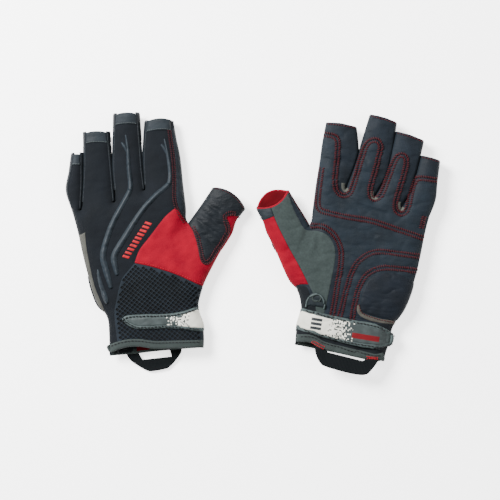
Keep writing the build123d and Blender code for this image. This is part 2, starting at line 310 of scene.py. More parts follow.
OUTER_STRIP = [(-47.7, 64.6), (-48.2, 53.4), (-47.4, 38.6), (-45.4, 18.4), (-41.2, 2.4), (-38.6, -8.4)]

SUEDE_OUTER = [(81.3, 70.8), (75.2, 60.0), (67.5, 49), (59.4, 38.2), (48.4, 24.3), (39.4, 11.8),
               (33.5, 3.0), (30, -8), (28.5, -14)]
SUEDE_INNER = [(69.4, 87.1), (62.7, 74.3), (56, 65), (51.6, 59.5), (47.8, 57.4), (38.3, 58.2),
               (29.1, 55.4), (22.6, 47.7), (20.3, 39.4), (20.1, 27.2), (20.9, 5.3), (21.8, -14.5)]
HEEL_PAD = [(-49.2, 28.5), (-44, 31), (-33, 33.4), (-20.2, 31.6), (-12.2, 26.4), (-7.7, 16.9), (-6.8, 6),
            (-7.6, 0.2), (-11.3, -4.6), (-22.0, -6.6), (-38.5, -7.4)]
HEEL_TRIM = [(-4.2, 2.0), (-5.5, -5.0), (-10.5, -8.8), (-22, -11.0), (-38.6, -10.6)]
CUFF_TOP = [(-39.5, -8.5), (-24, -12), (-8, -14.5), (14, -15.5), (24, -13), (31, -5), (36.5, 3), (41, 9.6),
            (49, 8.4)]
# Soft folds pressed into the palm's surface.
PALM_FOLDS = [[(40, 61), (37, 50), (36, 38)], [(30, 96), (10, 85), (-15, 82)],
              [(33, 118), (28, 121), (20, 120)], [(14, 112), (5, 114), (-6, 113)],
              [(43, 58), (44.5, 49), (46.5, 40)], [(48, 54), (49, 46), (51.5, 39)]]
# A short double row at the little finger's side of the palm.
LITTLE_TACK = [(-50.2, 85.5), (-49.6, 80), (-49.4, 74.5)]
RED_CUFF_LINE = [(48.0, 8.2), (39.0, 11.2)]
SERPENTINE = [(46.3, 140.5), (38.6, 140.1), (35.2, 137.8), (33.8, 131), (32.9, 121.0), (31.8, 103.7),
              (29.2, 94.9), (23.6, 91.1), (17.2, 93.6), (14.6, 103), (11.7, 124.5), (9.4, 137.0),
              (5.2, 141.9), (0.6, 141.8), (-2.3, 137.5), (-1.9, 128), (-0.6, 114), (0.9, 101.8),
              (-0.6, 94.4), (-5.4, 92.3), (-10.3, 97.5), (-13.3, 110), (-16.4, 126.5), (-19.4, 132.8),
              (-23.6, 133.2), (-26.1, 128.0), (-25.4, 116), (-23.6, 103), (-22.3, 92.5), (-23.8, 86.3),
              (-28.5, 83.4), (-32.8, 85.6), (-34.6, 91.9), (-35.7, 108), (-37.6, 114.8), (-41, 116.6),
              (-55.0, 117.2)]
PALM_LINES = {
    "cross": [(44.0, 112.4), (43.4, 93.2), (42.2, 81.2), (39.0, 75.9), (30, 74.6), (17.3, 73.9),
              (-4.5, 73.9), (-26.8, 70.6), (-51.6, 66.4)],
    "arc_high": [(-50.6, 50.8), (-34.5, 50.1), (-17.2, 49.4), (-7.3, 45.6), (0.2, 38.3), (4.0, 29.8),
                 (6.2, 16.4), (7.5, 3.1), (8.6, -15)],
    "arc_low": [(-51.0, 38.0), (-36.6, 37.6), (-21.2, 35.9), (-11.5, 31.0), (-5.6, 22.6), (-3.0, 11.0),
                (-2.2, -2.1), (-2.6, -14.4)],
    "thumb": [(45.4, 60.2), (38, 61.4), (32.0, 60.2), (23.9, 54.8), (18.2, 45.4), (16.3, 34.8),
              (16.2, 19.1), (16.3, -15)],
}

# The wrist strap: its sewn end's edges on the back, and its free end's edges on the palm.
STRAP_BACK_TOP = [(-25.7, -13.0), (-20.3, -10.6), (-4, -11.4), (11.4, -13.1), (26, -12.8), (38.9, -10.2)]
STRAP_BACK_FOOT = [(-25.7, -13.0), (-21.5, -18.6), (-14.0, -23.2), (-3, -24.6), (10.0, -25.6), (24, -28),
                   (42.4, -32.5)]
STRAP_TAB_TOP = [(41.6, -8.8), (34, -9.8), (16, -11.0), (-1.9, -11.9), (-23.0, -12.9), (-33.4, -15.4),
                 (-38.2, -18.2), (-40.2, -22.4)]
STRAP_TAB_FOOT = [(-40.2, -22.4), (-39.6, -26.4), (-36.0, -29.8), (-24.5, -33.0), (-4.6, -33.4), (14, -31.8),
                  (30, -30.0), (42.1, -28.2)]
# How much shorter each strap's free end is than the drawn one.
TAB_SHORT = {"glove1": 3.4, "glove2": 0.0}
# The corners of the two halves of the strap's fastener.
LOOP_FIELD = [(-35, -16.5), (-34.5, -27), (12, -30), (12, -13)]
HOOK_FIELD = [(-34, -18.5), (-33.5, -27.5), (-10, -29), (-10, -15)]
BADGE = [(21.6, -6.8), (22.2, -0.5), (26.0, 4.4), (31.5, 6.2), (36.6, 3.6), (38.9, -1.6), (39.2, -7.6)]
# The pull loop's outer and inner edges, measured from its hinge.
LOOPS = {
    "glove1": ([(-26.5, 4.5), (-26, 0), (-23.0, -5.6), (-16.5, -11.4), (-10.2, -15.8), (-5.5, -16.8),
                (5.6, -16.2), (9.4, -14.8), (14.2, -11.0), (20.2, -4.6), (21.7, -1), (22, 4.5)],
               [(11.6, 4.5), (11.4, 0), (12.4, -6.0), (-12.9, -5.7), (-15.4, 0), (-15.6, 4.5)]),
    "glove2": ([(-30.5, 3.5), (-29.6, 0), (-25.4, -7.6), (-20.6, -12.0), (-8.5, -12.8), (12.7, -10.6),
                (18.2, -8.4), (22.8, -2.6), (25.6, 4.5)],
               [(15, 4.5), (14.6, 3.0), (13.6, 2.0), (-17.2, -0.6), (-18.8, 0.8), (-19.4, 3.5)]),
}
# The bar tacks that hold the pull loop.
TACKS = {"glove1": [[(-30, -42.2), (-20, -42.6)], [(17.5, -42.4), (27.5, -42.8)]],
         "glove2": [[(-29.5, -41.4), (-19.5, -42.0)], [(17.0, -40.0), (28.4, -36.0)]]}
# The web and the tape at the root between two fingers, from the middle of their bases, and the web's height.
CROTCH_WEB = [(-3.0, -1.0), (-2.2, 3.0), (-1.2, 9.0), (1.2, 9.0), (2.2, 3.0), (3.0, -1.0), (0.0, -2.4),
              (-3.0, -1.0)]
CROTCH_BAND = [(3.1, 4.4), (2.7, 1.8), (1.4, -0.6), (-0.3, -1.4), (-1.8, -0.6), (-2.6, 0.8)]
CROTCH_WEB_HEIGHT = 7.6

# Cross sections: (offset across, height off the surface).
BINDING_SECTION = [(6.0, 0.0), (5.8, 0.75), (4.2, 0.95), (1.0, 0.95), (-0.4, 0.6), (-0.8, -0.5), (-0.5, -1.6),
                   (0.8, -2.0), (3.5, -1.9), (5.0, -1.5), (5.2, -0.9)]

# How far inside a sheet's edge its rings of points lie: they round the rim over.
SOFT_RIM, TRIM_RIM, THIN_RIM = (0.12, 0.5, 1.1), (0.12, 0.5), (0.5,)
DEEP_RIM = (0.12, 0.5, 1.1, 2.0)
STRAP_RIM = (0.12, 0.5, 1.1, 1.8)
SHELL_RIM = (0.12, 0.5, 1.2, 2.2)


class Glove:
    """One glove: its place in the row's frame, its plan and the surfaces over the plan."""

    def __init__(self, name):
        self.name = name
        flip = JOINTS[f"{name}_loop_flip"]
        self.x = Vector(flip["axis"])
        self.y = -Vector(JOINTS[f"{name}_strap_peel"]["axis"])
        self.z = self.x.cross(self.y)
        rise = self.x * LOOP_HINGE[0] + self.y * LOOP_HINGE[1] + self.z * LOOP_HINGE[2]
        self.origin = Vector(flip["pos_m"]) - rise * MM
        self.turn = np.array([self.x, self.y, self.z])
        self.base, self.lean = {}, {}
        for digit in DIGITS:
            joint = JOINTS[f"{name}_{digit}_flex"]
            self.base[digit] = self.to_local(joint["pos_m"])[:2]
            across = -np.array([Vector(joint["axis"]).dot(self.x), Vector(joint["axis"]).dot(self.y)])
            self.lean[digit] = (np.array([-across[1], across[0]]), across)
        other = "glove2" if name == "glove1" else "glove1"
        carry = warp_between(LANDMARKS[other], LANDMARKS[name])
        self.carry = {BACK: carry, PALM: carry}
        self.carry[BACK if name == "glove1" else PALM] = lambda points: np.array(points, float)
        self.make_edges()
        self.rows = {BACK: [], PALM: []}
        self.creases = {BACK: [], PALM: []}

    def to_row(self, points):
        """Millimetres in the glove's frame to metres in the row's frame."""
        return np.array(self.origin) + np.asarray(points, float) @ self.turn * MM

    def to_local(self, point):
        """A row-frame point, in metres, in the glove's own millimetres."""
        return self.turn @ (np.array(point) - np.array(self.origin)) / MM

    def line(self, side, points, step=1.4):
        """A drawn line as a smooth curve in this glove's plan."""
        return resample(self.carry[side](smooth(points, step)), step)

    def station(self, digit, along, offset):
        """The plan points at distances along a digit and offsets to its thumb side."""
        ahead, across = self.lean[digit]
        along, offset = np.atleast_1d(along)[:, None], np.atleast_1d(offset)[:, None]
        return self.base[digit] + along * ahead + offset * across

    def digit_coords(self, digit, points):
        """Distances along and across a digit of plan points."""
        ahead, across = self.lean[digit]
        rel = points - self.base[digit]
        return rel @ ahead, rel @ across

    def make_edges(self):
        """The free edges of the plan, on which the back and the palm meet."""
        name = self.name
        self.sides = {}
        for d in DIGITS:
            at, outer, inner = (np.array(row, float) for row in SIDES[name][d])
            at[-1] = REACH[name][d] + SPARE
            self.sides[d] = (smooth(self.station(d, at, outer)), smooth(self.station(d, at, inner)))
        self.outer = smooth(OUTER_EDGE[name] + [self.sides["little"][0][0]])
        self.heel = smooth(HEEL_EDGE[name] + [self.sides["thumb"][1][0]])
        self.web = smooth([self.sides["thumb"][0][0]] + CROTCH_EDGE[name] + [self.sides["index"][1][0]])
        neighbours = zip(FINGERS, FINGERS[1:])
        steps = [np.vstack([self.sides[a][0][:1], self.sides[b][1][:1]]) for a, b in neighbours]
        edges = [self.outer, self.heel, self.web]
        rim = edges + steps
        self.segs = {"hand": segments(rim + [s for pair in self.sides.values() for s in pair])}
        self.region = {}
        for d in DIGITS:
            near = edges if d in ("little", "thumb", "index") else steps
            self.segs[d] = segments(list(self.sides[d]) + near)
            self.region[d] = close(self.sides[d][0], self.sides[d][1][::-1])

    def owner(self, points):
        """Which body each plan point goes with: the hand or a digit."""
        names = np.full(len(points), "hand", dtype="<U8")
        for d in DIGITS:
            names[inside(points, self.region[d])] = d
        for d in DIGITS:
            along, offset = self.digit_coords(d, points)
            at, outer, inner = SIDES[self.name][d]
            past_outer = offset > np.interp(along, at, outer) - BESIDE
            beside = past_outer & (offset < np.interp(along, at, inner) + BESIDE)
            names[(names == "hand") & (along > 0.3) & beside] = d
        return names

    def spread(self, points):
        """How far into the stalls each plan point is, 0 to 1, and half the digit's width there."""
        total, weight, half = np.zeros(len(points)), np.full(len(points), 1e-9), np.zeros(len(points))
        for d in FINGERS:
            along, offset = self.digit_coords(d, points)
            near = np.exp(-((offset / 13) ** 2))
            at, outer, inner = SIDES[self.name][d]
            width = np.interp(along, at, np.subtract(inner, outer)) / 2
            total, weight, half = total + near * along, weight + near, half + near * width
        finger, half = step_up(total / weight, -16, 12), half / weight
        along, offset = self.digit_coords("thumb", points)
        thumb = step_up(along, -24, 8) * (1 - step_up(np.abs(offset), 20, 30))
        return np.maximum(finger, thumb), np.where(thumb > finger, 15.0, half)

    def bare(self, points, side, owner):
        """Height of the smooth surface over plan points, before seams and creases."""
        away = distance(points, self.segs[owner])
        finger, half = self.spread(points)
        cuff = 1 - step_up(points[:, 1], WRIST_Y - 6, WRIST_Y + 14)

        def mix(hand, stall, wrist):
            return hand + (stall - hand) * finger + (wrist - hand) * cuff * (1 - finger)

        round_over = EDGE_ROUND + (np.minimum(half * 1.02, EDGE_ROUND) - EDGE_ROUND) * finger
        u = np.clip(away / round_over, 0, 1)
        section = (1 - (1 - u) ** SECTION_POWER) ** (1 / SECTION_POWER)
        seam = mix(HAND_SEAM, STALL_SEAM, CUFF_SEAM)
        crown = (HAND_CROWN, STALL_CROWN, CUFF_CROWN)
        floor = (HAND_FLOOR, STALL_FLOOR, CUFF_FLOOR)
        top = mix(*crown) if side == BACK else mix(*floor)
        return seam + (top - seam) * section, away

    def height(self, points, side, owner):
        """Height of the finished surface over plan points, with its seams and creases."""
        z, away = self.bare(points, side, owner)
        relief = sum(depth * wave(points, size, seed + side) for depth, size, seed in SWELLS)
        folds = 1 - np.abs(wave(points * [0.55, 1.3], 17, 31 + side, 3)) * 2.4
        relief -= np.clip(folds, 0, 1) ** 2 * FOLD_DEPTH[side]
        for segs, depth, width in self.creases[side]:
            relief -= depth * np.exp(-((distance(points, segs) / width) ** 2))
        along, offset = self.digit_coords("thumb", points)
        near = step_up(along, -14, 2) * (1 - step_up(along, 26, 36)) * (1 - step_up(np.abs(offset), 13, 19))
        relief += 0.55 * near * np.sin(along * 0.75 + 1.5 * wave(points, 11, 21)) * (side == BACK)
        return z + side * (np.clip(relief, *RELIEF_RANGE) - RELIEF_SINK) * np.clip(away / 4, 0, 1)

    def heights(self, points, side):
        """The finished surface over plan points, each with its own body's edges."""
        owners = self.owner(points)
        z = np.zeros(len(points))
        for name in np.unique(owners):
            mine = owners == name
            z[mine] = self.height(points[mine], side, name)
        return z

    def surface(self, points, side, lift=0.0):
        """Points raised off the finished surface along its normal, and the normals."""
        small = SLOPE_STEP
        z = self.heights(points, side)
        slope_x = (self.heights(points + [small, 0], side) - z) / small
        slope_y = (self.heights(points + [0, small], side) - z) / small
        normal = np.stack([-slope_x, -slope_y, np.ones(len(z))], 1) * side
        normal /= np.linalg.norm(normal, axis=1)[:, None]
        return np.column_stack([points, z]) + normal * np.reshape(lift, (-1, 1)), normal

    def at(self, digit, which, along):
        """The point of a digit's outer (0) or thumb (1) side at a distance along it."""
        line = self.sides[digit][which]
        along_line, offset = self.digit_coords(digit, line)
        return self.station(digit, along, np.interp(along, along_line, offset))[0]

    def up_side(self, digit, which, low, high):
        """A digit's side between two distances along it."""
        line = self.sides[digit][which]
        along, _ = self.digit_coords(digit, line)
        inner = line[(along > low + 0.5) & (along < high - 0.5)]
        return np.vstack([self.at(digit, which, low), inner, self.at(digit, which, high)])

    def end_arc(self, digit, along, bow, inset=0.0):
        """A digit's cross line from its outer to its thumb side, bowed towards the tip."""
        a, b = self.at(digit, 0, along), self.at(digit, 1, along)
        width = np.linalg.norm(b - a)
        t = np.linspace(inset / width, 1 - inset / width, max(6, int(width / 1.3)))[:, None]
        return a + (b - a) * t + self.lean[digit][0] * bow * 4 * t * (1 - t)

    def foot(self, digit):
        """The line at a digit's base, where its joint is."""
        return resample([self.sides[digit][0][0], self.sides[digit][1][0]], 1.3)

    def attach(self, obj, owner):
        """Pieces of the digits, the strap's free end and the pull loop stay where they are made; any other
        piece rides on its body.
        """
        if owner in BENDS:
            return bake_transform(obj)
        if owner not in DIGITS:
            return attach(obj, f"{self.name}_{owner}")
        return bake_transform(obj)


# ---------------------------------------------------------------- meshes


def triangles(loop, step, rings, holes=(), splits=()):
    """Plan points and triangles that fill the closed loop, less its small round holes.

    Rings of points follow the rim at each inset, and the split lines become edges.
    """
    closed = np.vstack([loop, loop[:1]])
    segs = segments([closed])
    stack, edges, total = [], [], 0
    for ring in (loop, *holes):
        edges += [(total + i, total + (i + 1) % len(ring)) for i in range(len(ring))]
        stack.append(ring)
        total += len(ring)
    for line in splits:
        line = line[inside(line, loop) & (distance(line, segs) > 0.3)]
        edges += [(total + i, total + i + 1) for i in range(len(line) - 1)]
        stack.append(line)
        total += len(line)
    for inset in rings:
        ring = offset_line(closed, inset)[:-1]
        stack.append(ring[inside(ring, loop) & (distance(ring, segs) > 0.85 * inset)])
    low, high = loop.min(0), loop.max(0)
    rows = np.arange(low[1], high[1], step * 0.866)
    columns = np.arange(low[0], high[0], step)
    grid = np.array([(x + k % 2 * step / 2, y) for k, y in enumerate(rows) for x in columns])
    grid = grid[inside(grid, loop)]
    grid = grid[distance(grid, segs) > max(rings, default=0) + 0.5 * step]
    for line in splits:
        grid = grid[distance(grid, segments([line])) > 0.5 * step]
    for hole in holes:
        reach = np.linalg.norm(hole - hole.mean(0), axis=1).max() + 0.25
        grid = grid[np.linalg.norm(grid - hole.mean(0), axis=1) > reach]
    stack.append(grid)
    points = [Vector(p) for p in np.vstack(stack)]
    verts, _, faces, *_ = delaunay_2d_cdt(points, edges, [], 0, 1e-4)
    verts, faces = np.array(verts), np.array([f[:3] for f in faces])
    middle = verts[faces].mean(1)
    good = inside(middle, loop)
    if len(holes):
        centres = np.array([hole.mean(0) for hole in holes])
        reach = np.linalg.norm(holes[0] - centres[0], axis=1).max() * 0.8
        for k in range(0, len(middle), 2000):
            gap = np.linalg.norm(middle[k:k + 2000, None] - centres[None], axis=2).min(1)
            good[k:k + 2000] &= gap > reach
    return verts, faces[good]


def vertex_normals(points, faces):
    """Area-weighted normals."""
    a, b, c = points[faces[:, 0]], points[faces[:, 1]], points[faces[:, 2]]
    cross = np.cross(b - a, c - a)
    normals = np.zeros_like(points)
    for k in range(3):
        np.add.at(normals, faces[:, k], cross)
    return normals / np.maximum(np.linalg.norm(normals, axis=1), 1e-9)[:, None]


def mesh_object(glove, name, points, faces, material, owner="hand", nodes=(), shading=None):
    """A smooth mesh from points in the glove's frame, on its body, with a normal per face corner."""
    mesh = bpy.data.meshes.new(f"{glove.name}_{name}")
    mesh.from_pydata(glove.to_row(points).tolist(), [], [list(map(int, f)) for f in faces])
    mesh.polygons.foreach_set("use_smooth", np.ones(len(mesh.polygons), bool))
    if shading is not None:
        mesh.normals_split_custom_set((shading @ glove.turn).tolist())
    plan = mesh.attributes.new("plan", "FLOAT_VECTOR", "POINT")
    plan.data.foreach_set("vector", np.asarray(points, np.float32).ravel())
    mesh.materials.append(material)
    mesh.update()
    obj = bpy.data.objects.new(mesh.name, mesh)
    bpy.context.scene.collection.objects.link(obj)
    glove.attach(obj, owner)
    if nodes:
        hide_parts(*(f"{glove.name}_{n}" for n in nodes))
    return obj


def thick(outer, normals, faces, thickness, shading=None):
    """A closed shell from an outer surface: points, faces and one normal per face corner."""
    inner = outer - normals * thickness
    shading = normals if shading is None else shading
    count = len(outer)
    half = np.vstack([faces[:, [0, 1]], faces[:, [1, 2]], faces[:, [2, 0]]])
    seen = {tuple(e) for e in half.tolist()}
    rim = [e for e in half.tolist() if (e[1], e[0]) not in seen]
    walls = np.array([(b, a, a + count, b + count) for a, b in rim])
    points = np.vstack([outer, inner])
    flat = np.cross(points[walls[:, 1]] - points[walls[:, 0]], points[walls[:, 2]] - points[walls[:, 1]])
    flat /= np.maximum(np.linalg.norm(flat, axis=1), 1e-9)[:, None]
    back = faces[:, ::-1]
    corners = np.vstack([shading[faces.ravel()], -shading[back.ravel()], np.repeat(flat, 4, axis=0)])
    return points, faces.tolist() + (back + count).tolist() + walls.tolist(), corners


def part_of(points, faces, chosen):
    """The indices of the points that the chosen faces use, and those faces over them."""
    used = np.unique(faces[chosen])
    lookup = np.zeros(len(points), int)
    lookup[used] = np.arange(len(used))
    return used, lookup[faces[chosen]]


# Slivers of a sheet with fewer faces than this are dropped, and a rim this near the plan's edge stays raised.
FEWEST_FACES, ON_EDGE = 6, 0.35


class Sheet:
    """A sheet in plan, laid on the back or the palm and cut where the digits' joints are.

    Its rim tucks down over the edge width, and raised gives extra height over plan points.
    """

    def __init__(self, glove, side, loop, step=1.5, rings=(0.5, 1.2), lift=0.0, thickness=1.1, holes=(),
                 edge=0.9, raised=None, whole=False):
        self.glove, self.side, self.thickness = glove, side, thickness
        splits = [] if whole else [glove.foot(d) for d in DIGITS]
        splits = [s for s in splits if inside(s, loop).any()]
        points, faces = triangles(loop, step, rings, holes, splits)
        z = glove.heights(points, side)
        base = np.column_stack([points, z])
        if side == PALM:
            faces = faces[:, ::-1]
        self.normals = vertex_normals(base, faces)
        rise = np.full(len(points), float(lift))
        if raised is not None:
            rise = rise + raised(points)
        closed = np.vstack([loop, loop[:1]])
        free = distance(closed, glove.segs["hand"]) < ON_EDGE
        keep = ~(free[:-1] & free[1:])
        if lift and edge and keep.any():
            away = distance(points, (closed[:-1][keep], closed[1:][keep]))
            rise = rise * np.sqrt(step_up(away, -0.05, edge)) - 0.25 * (away < 0.05)
        self.outer = base + self.normals * rise[:, None]
        self.faces = faces
        self.shading = vertex_normals(self.outer, faces)
        middle = points[faces].mean(1)
        self.owners = np.full(len(faces), "hand", "<U8") if whole else glove.owner(middle)

    def make(self, name, material, nodes=None, body=None):
        """One closed piece for each body that the sheet goes with, or one in all for the given body."""
        made = {}
        for owner in np.unique(self.owners) if body is None else [body]:
            chosen = self.owners == owner if body is None else np.ones(len(self.faces), bool)
            if chosen.sum() < FEWEST_FACES:
                continue
            used, faces = part_of(self.outer, self.faces, chosen)
            points, faces, corners = thick(
                self.outer[used], self.normals[used], faces, self.thickness, self.shading[used])
            title = name if owner == "hand" or body else f"{owner}_{name}"
            mine = nodes.get(owner, ()) if nodes else ()
            made[owner] = mesh_object(
                self.glove, title, points, faces, material, owner, mine, corners)
        return made


def shells(glove, side, material):
    """The hand's and the digits' base sheets on one side, with the digits' feet welded to the hand."""
    name = glove.name
    lip = smooth(LIPS[name][side])
    outer = glove.outer[glove.outer[:, 1] > lip[0, 1] + 0.7]
    heel = glove.heel[glove.heel[:, 1] > lip[-1, 1] + 0.7]
    hand = close(lip[::-1], outer, *[glove.foot(d) for d in reversed(FINGERS)], glove.web[::-1],
                 glove.foot("thumb"), heel[::-1])
    loops = {"hand": hand}
    for d in DIGITS:
        reach = REACH[name][d]
        end = glove.end_arc(d, reach, BOW[name][side][d])
        loops[d] = close(glove.foot(d), glove.up_side(d, 1, 0, reach), end[::-1],
                         glove.up_side(d, 0, 0, reach)[::-1])
    made = {}
    for owner, loop in loops.items():
        points, faces = triangles(loop, 1.6, SHELL_RIM)
        base = np.column_stack([points, glove.height(points, side, owner)])
        faces = faces if side == BACK else faces[:, ::-1]
        made[owner] = [points, faces, base, vertex_normals(base, faces)]
    for d in DIGITS:
        weld(made["hand"], made[d], glove.foot(d))
    for owner, (_, faces, base, normals) in made.items():
        points, faces, corners = thick(base, normals, faces, SHELL_THICKNESS)
        title = f"{LABEL[side]}_panel" if owner == "hand" else f"{owner}_{LABEL[side]}"
        mesh_object(glove, title, points, faces, material, owner, [title], corners)


def weld(first, second, line):
    """Gives two sheets the same positions and normals at the points of a line that both have."""
    for point in line:
        i = int(np.linalg.norm(first[0] - point, axis=1).argmin())
        j = int(np.linalg.norm(second[0] - point, axis=1).argmin())
        for row in (2, 3):
            shared = (first[row][i] + second[row][j]) / 2
            first[row][i], second[row][j] = shared, shared


def sweep(glove, name, side, line, section, material, owner="hand", nodes=(), taper=None):
    """A closed strip along a plan line: section gives (offset across, height off the surface) pairs."""
    _, left = side_normals(line)
    section = np.array(section, float)
    width = np.ones(len(line)) if taper is None else taper
    plan = line[:, None] + left[:, None] * section[None, :, :1] * width[:, None, None]
    flat = plan.reshape(-1, 2)
    rise = (np.ones(len(line))[:, None] * section[None, :, 1] * np.minimum(1, width * 1.3)[:, None]).ravel()
    points, _ = glove.surface(flat, side, rise)
    count = len(section)
    faces = []
    for i in range(len(line) - 1):
        for k in range(count):
            a, b = i * count + k, i * count + (k + 1) % count
            faces.append((a, b, b + count, a + count) if side == PALM else (a, a + count, b + count, b))
    first, last = list(range(count)), list(range((len(line) - 1) * count, len(line) * count))
    faces += [first[::-1] if side == PALM else first, last if side == PALM else last[::-1]]
    return mesh_object(glove, name, points, faces, material, owner, nodes)


# A stitch: places along it, its girth and its rise there in radii, and the sides of its section.
STITCH_STOPS = (0.0, 0.12, 0.5, 0.88, 1.0)
STITCH_GIRTH = (0.35, 0.85, 1.0, 0.85, 0.35)
STITCH_RISE = (-0.3, 0.35, 0.75, 0.35, -0.3)
STITCH_SIDES = 6
# The share of the pitch that a stitch leaves bare at each end.
STITCH_GAP = 0.12


def stitches(glove, side, rows, pitch, radius, lift, slant):
    """Sewn stitches along plan rows: each body's (stitch points, faces of one stitch)."""
    starts, ends = [], []
    for row in rows:
        at = resample(row, pitch)
        _, left = side_normals(at)
        step = np.diff(at, axis=0)
        lean = left[:-1] * slant
        starts.append(at[:-1] + step * STITCH_GAP - lean)
        ends.append(at[:-1] + step * (1 - STITCH_GAP) + lean)
    starts, ends = np.vstack(starts), np.vstack(ends)
    middle = (starts + ends) / 2
    (a, na), (b, nb) = glove.surface(starts, side, lift), glove.surface(ends, side, lift)
    (m, nm) = glove.surface(middle, side, lift)
    up = na + nb + nm
    up /= np.linalg.norm(up, axis=1)[:, None]
    ahead = b - a
    ahead /= np.linalg.norm(ahead, axis=1)[:, None]
    across = np.cross(ahead, up)
    angle = (np.arange(STITCH_SIDES) * math.tau / STITCH_SIDES)[None, :, None]
    ring = across[:, None] * np.cos(angle) + up[:, None] * np.sin(angle)
    blocks = []
    for stop, size, rise in zip(STITCH_STOPS, STITCH_GIRTH, STITCH_RISE):
        curve = a + (b - a) * stop + (m - (a + b) / 2) * 4 * stop * (1 - stop)
        blocks.append((curve + up * rise * radius)[:, None] + ring * radius * size)
    points = np.stack(blocks, 1).reshape(len(starts), -1, 3)
    faces = []
    last = (len(STITCH_STOPS) - 1) * STITCH_SIDES
    for row in range(0, last, STITCH_SIDES):
        for k in range(STITCH_SIDES):
            p, q = row + k, row + (k + 1) % STITCH_SIDES
            faces.append((p, q, q + STITCH_SIDES, p + STITCH_SIDES))
    faces += [tuple(range(STITCH_SIDES - 1, -1, -1)), tuple(range(last, last + STITCH_SIDES))]
    owners = glove.owner(middle)
    return {o: (points[owners == o], faces) for o in np.unique(owners)}


def sew(glove, name, groups, material):
    """One thread piece for each body, from several groups of stitches; returns the last one."""
    owners = sorted({o for group in groups for o in group})
    for owner in owners:
        points, faces = [], []
        for group in groups:
            if owner not in group:
                continue
            block, pattern = group[owner]
            for stitch in block:
                base = len(stitch) * len(points)
                points.append(stitch)
                faces += [tuple(base + k for k in f) for f in pattern]
        title = name if owner == "hand" else f"{owner}_{name}"
        last = mesh_object(glove, title, np.vstack(points), faces, material, owner)
    return last


# ---------------------------------------------------------------- materials


# The wave texture's phase grows by this much per unit of scaled length.
WAVE_UNIT = 20


class Paint:
    """A small helper that wires one node material over the plan coordinates, in millimetres."""

    def __init__(self, name, colour, rough, spec=0.25):
        self.material = bpy.data.materials.new(name)
        self.material.use_nodes = True
        self.tree = self.material.node_tree
        self.shader = self.tree.nodes["Principled BSDF"]
        self.shader.inputs["Specular IOR Level"].default_value = spec
        self.shader.inputs["Roughness"].default_value = rough
        self.shader.inputs["Base Color"].default_value = (*linear(colour), 1)
        where = self.tree.nodes.new("ShaderNodeAttribute")
        where.attribute_name = "plan"
        self.plan = where.outputs["Vector"]

    def node(self, kind, inputs=(), **settings):
        node = self.tree.nodes.new(kind)
        for key, value in settings.items():
            setattr(node, key, value)
        for key, value in dict(inputs).items():
            if isinstance(value, bpy.types.NodeSocket):
                self.tree.links.new(value, node.inputs[key])
            else:
                node.inputs[key].default_value = value
        return node

    def math(self, operation, a, b=0.0):
        return self.node("ShaderNodeMath", {0: a, 1: b}, operation=operation).outputs[0]

    def place(self, turn=0.0, scale=(1, 1, 1)):
        inputs = {"Vector": self.plan, "Rotation": (0, 0, turn), "Scale": scale}
        return self.node("ShaderNodeMapping", inputs).outputs[0]

    def noise(self, size, detail=3.0, vector=None):
        at = self.plan if vector is None else vector
        inputs = {"Vector": at, "Scale": 1 / size, "Detail": detail}
        return self.node("ShaderNodeTexNoise", inputs).outputs["Fac"]

    def cells(self, size):
        inputs = {"Vector": self.plan, "Scale": 1 / size}
        return self.node("ShaderNodeTexVoronoi", inputs, feature="SMOOTH_F1").outputs["Distance"]

    def bands(self, size, turn=0.0, direction="X", distort=0.0):
        scale = math.tau / WAVE_UNIT / size
        inputs = {"Vector": self.place(turn), "Scale": scale, "Distortion": distort, "Detail": 1.0}
        return self.node("ShaderNodeTexWave", inputs, bands_direction=direction).outputs["Fac"]

    def ramp(self, fac, low, high, colour_low, colour_high):
        node = self.node("ShaderNodeValToRGB", {"Fac": fac})
        node.color_ramp.elements[0].position, node.color_ramp.elements[1].position = low, high
        node.color_ramp.elements[0].color = (*linear(colour_low), 1)
        node.color_ramp.elements[1].color = (*linear(colour_high), 1)
        return node.outputs["Color"]

    def mix(self, fac, a, b):
        node = self.tree.nodes.new("ShaderNodeMix")
        node.data_type = "RGBA"
        for key, value in ((0, fac), (6, a), (7, b)):
            if isinstance(value, bpy.types.NodeSocket):
                self.tree.links.new(value, node.inputs[key])
            else:
                node.inputs[key].default_value = value if key == 0 else (*linear(value), 1)
        return node.outputs[2]

    def finish(self, colour, rough=None, bumps=(), sheen=0.0):
        """Links the colour and roughness, and stacks (height, strength, depth in mm) bumps."""
        self.tree.links.new(colour, self.shader.inputs["Base Color"])
        if rough is not None:
            self.tree.links.new(rough, self.shader.inputs["Roughness"])
        last = None
        for height, strength, depth in bumps:
            inputs = {"Height": height, "Strength": strength, "Distance": depth * MM}
            bump = self.node("ShaderNodeBump", inputs)
            if last is not None:
                self.tree.links.new(last, bump.inputs["Normal"])
            last = bump.outputs["Normal"]
        if last is not None:
            self.tree.links.new(last, self.shader.inputs["Normal"])
        self.shader.inputs["Sheen Weight"].default_value = sheen
        self.shader.inputs["Sheen Roughness"].default_value = 0.45
        return self.material


def linear(colour):
    """An sRGB 0-255 colour as linear values."""
    c = np.array(colour, float) / 255
    return tuple(np.where(c <= 0.04045, c / 12.92, ((c + 0.055) / 1.055) ** 2.4).tolist())


def shade(colour, share):
    """A colour made lighter or darker."""
    return tuple(min(255, c * share) for c in colour)


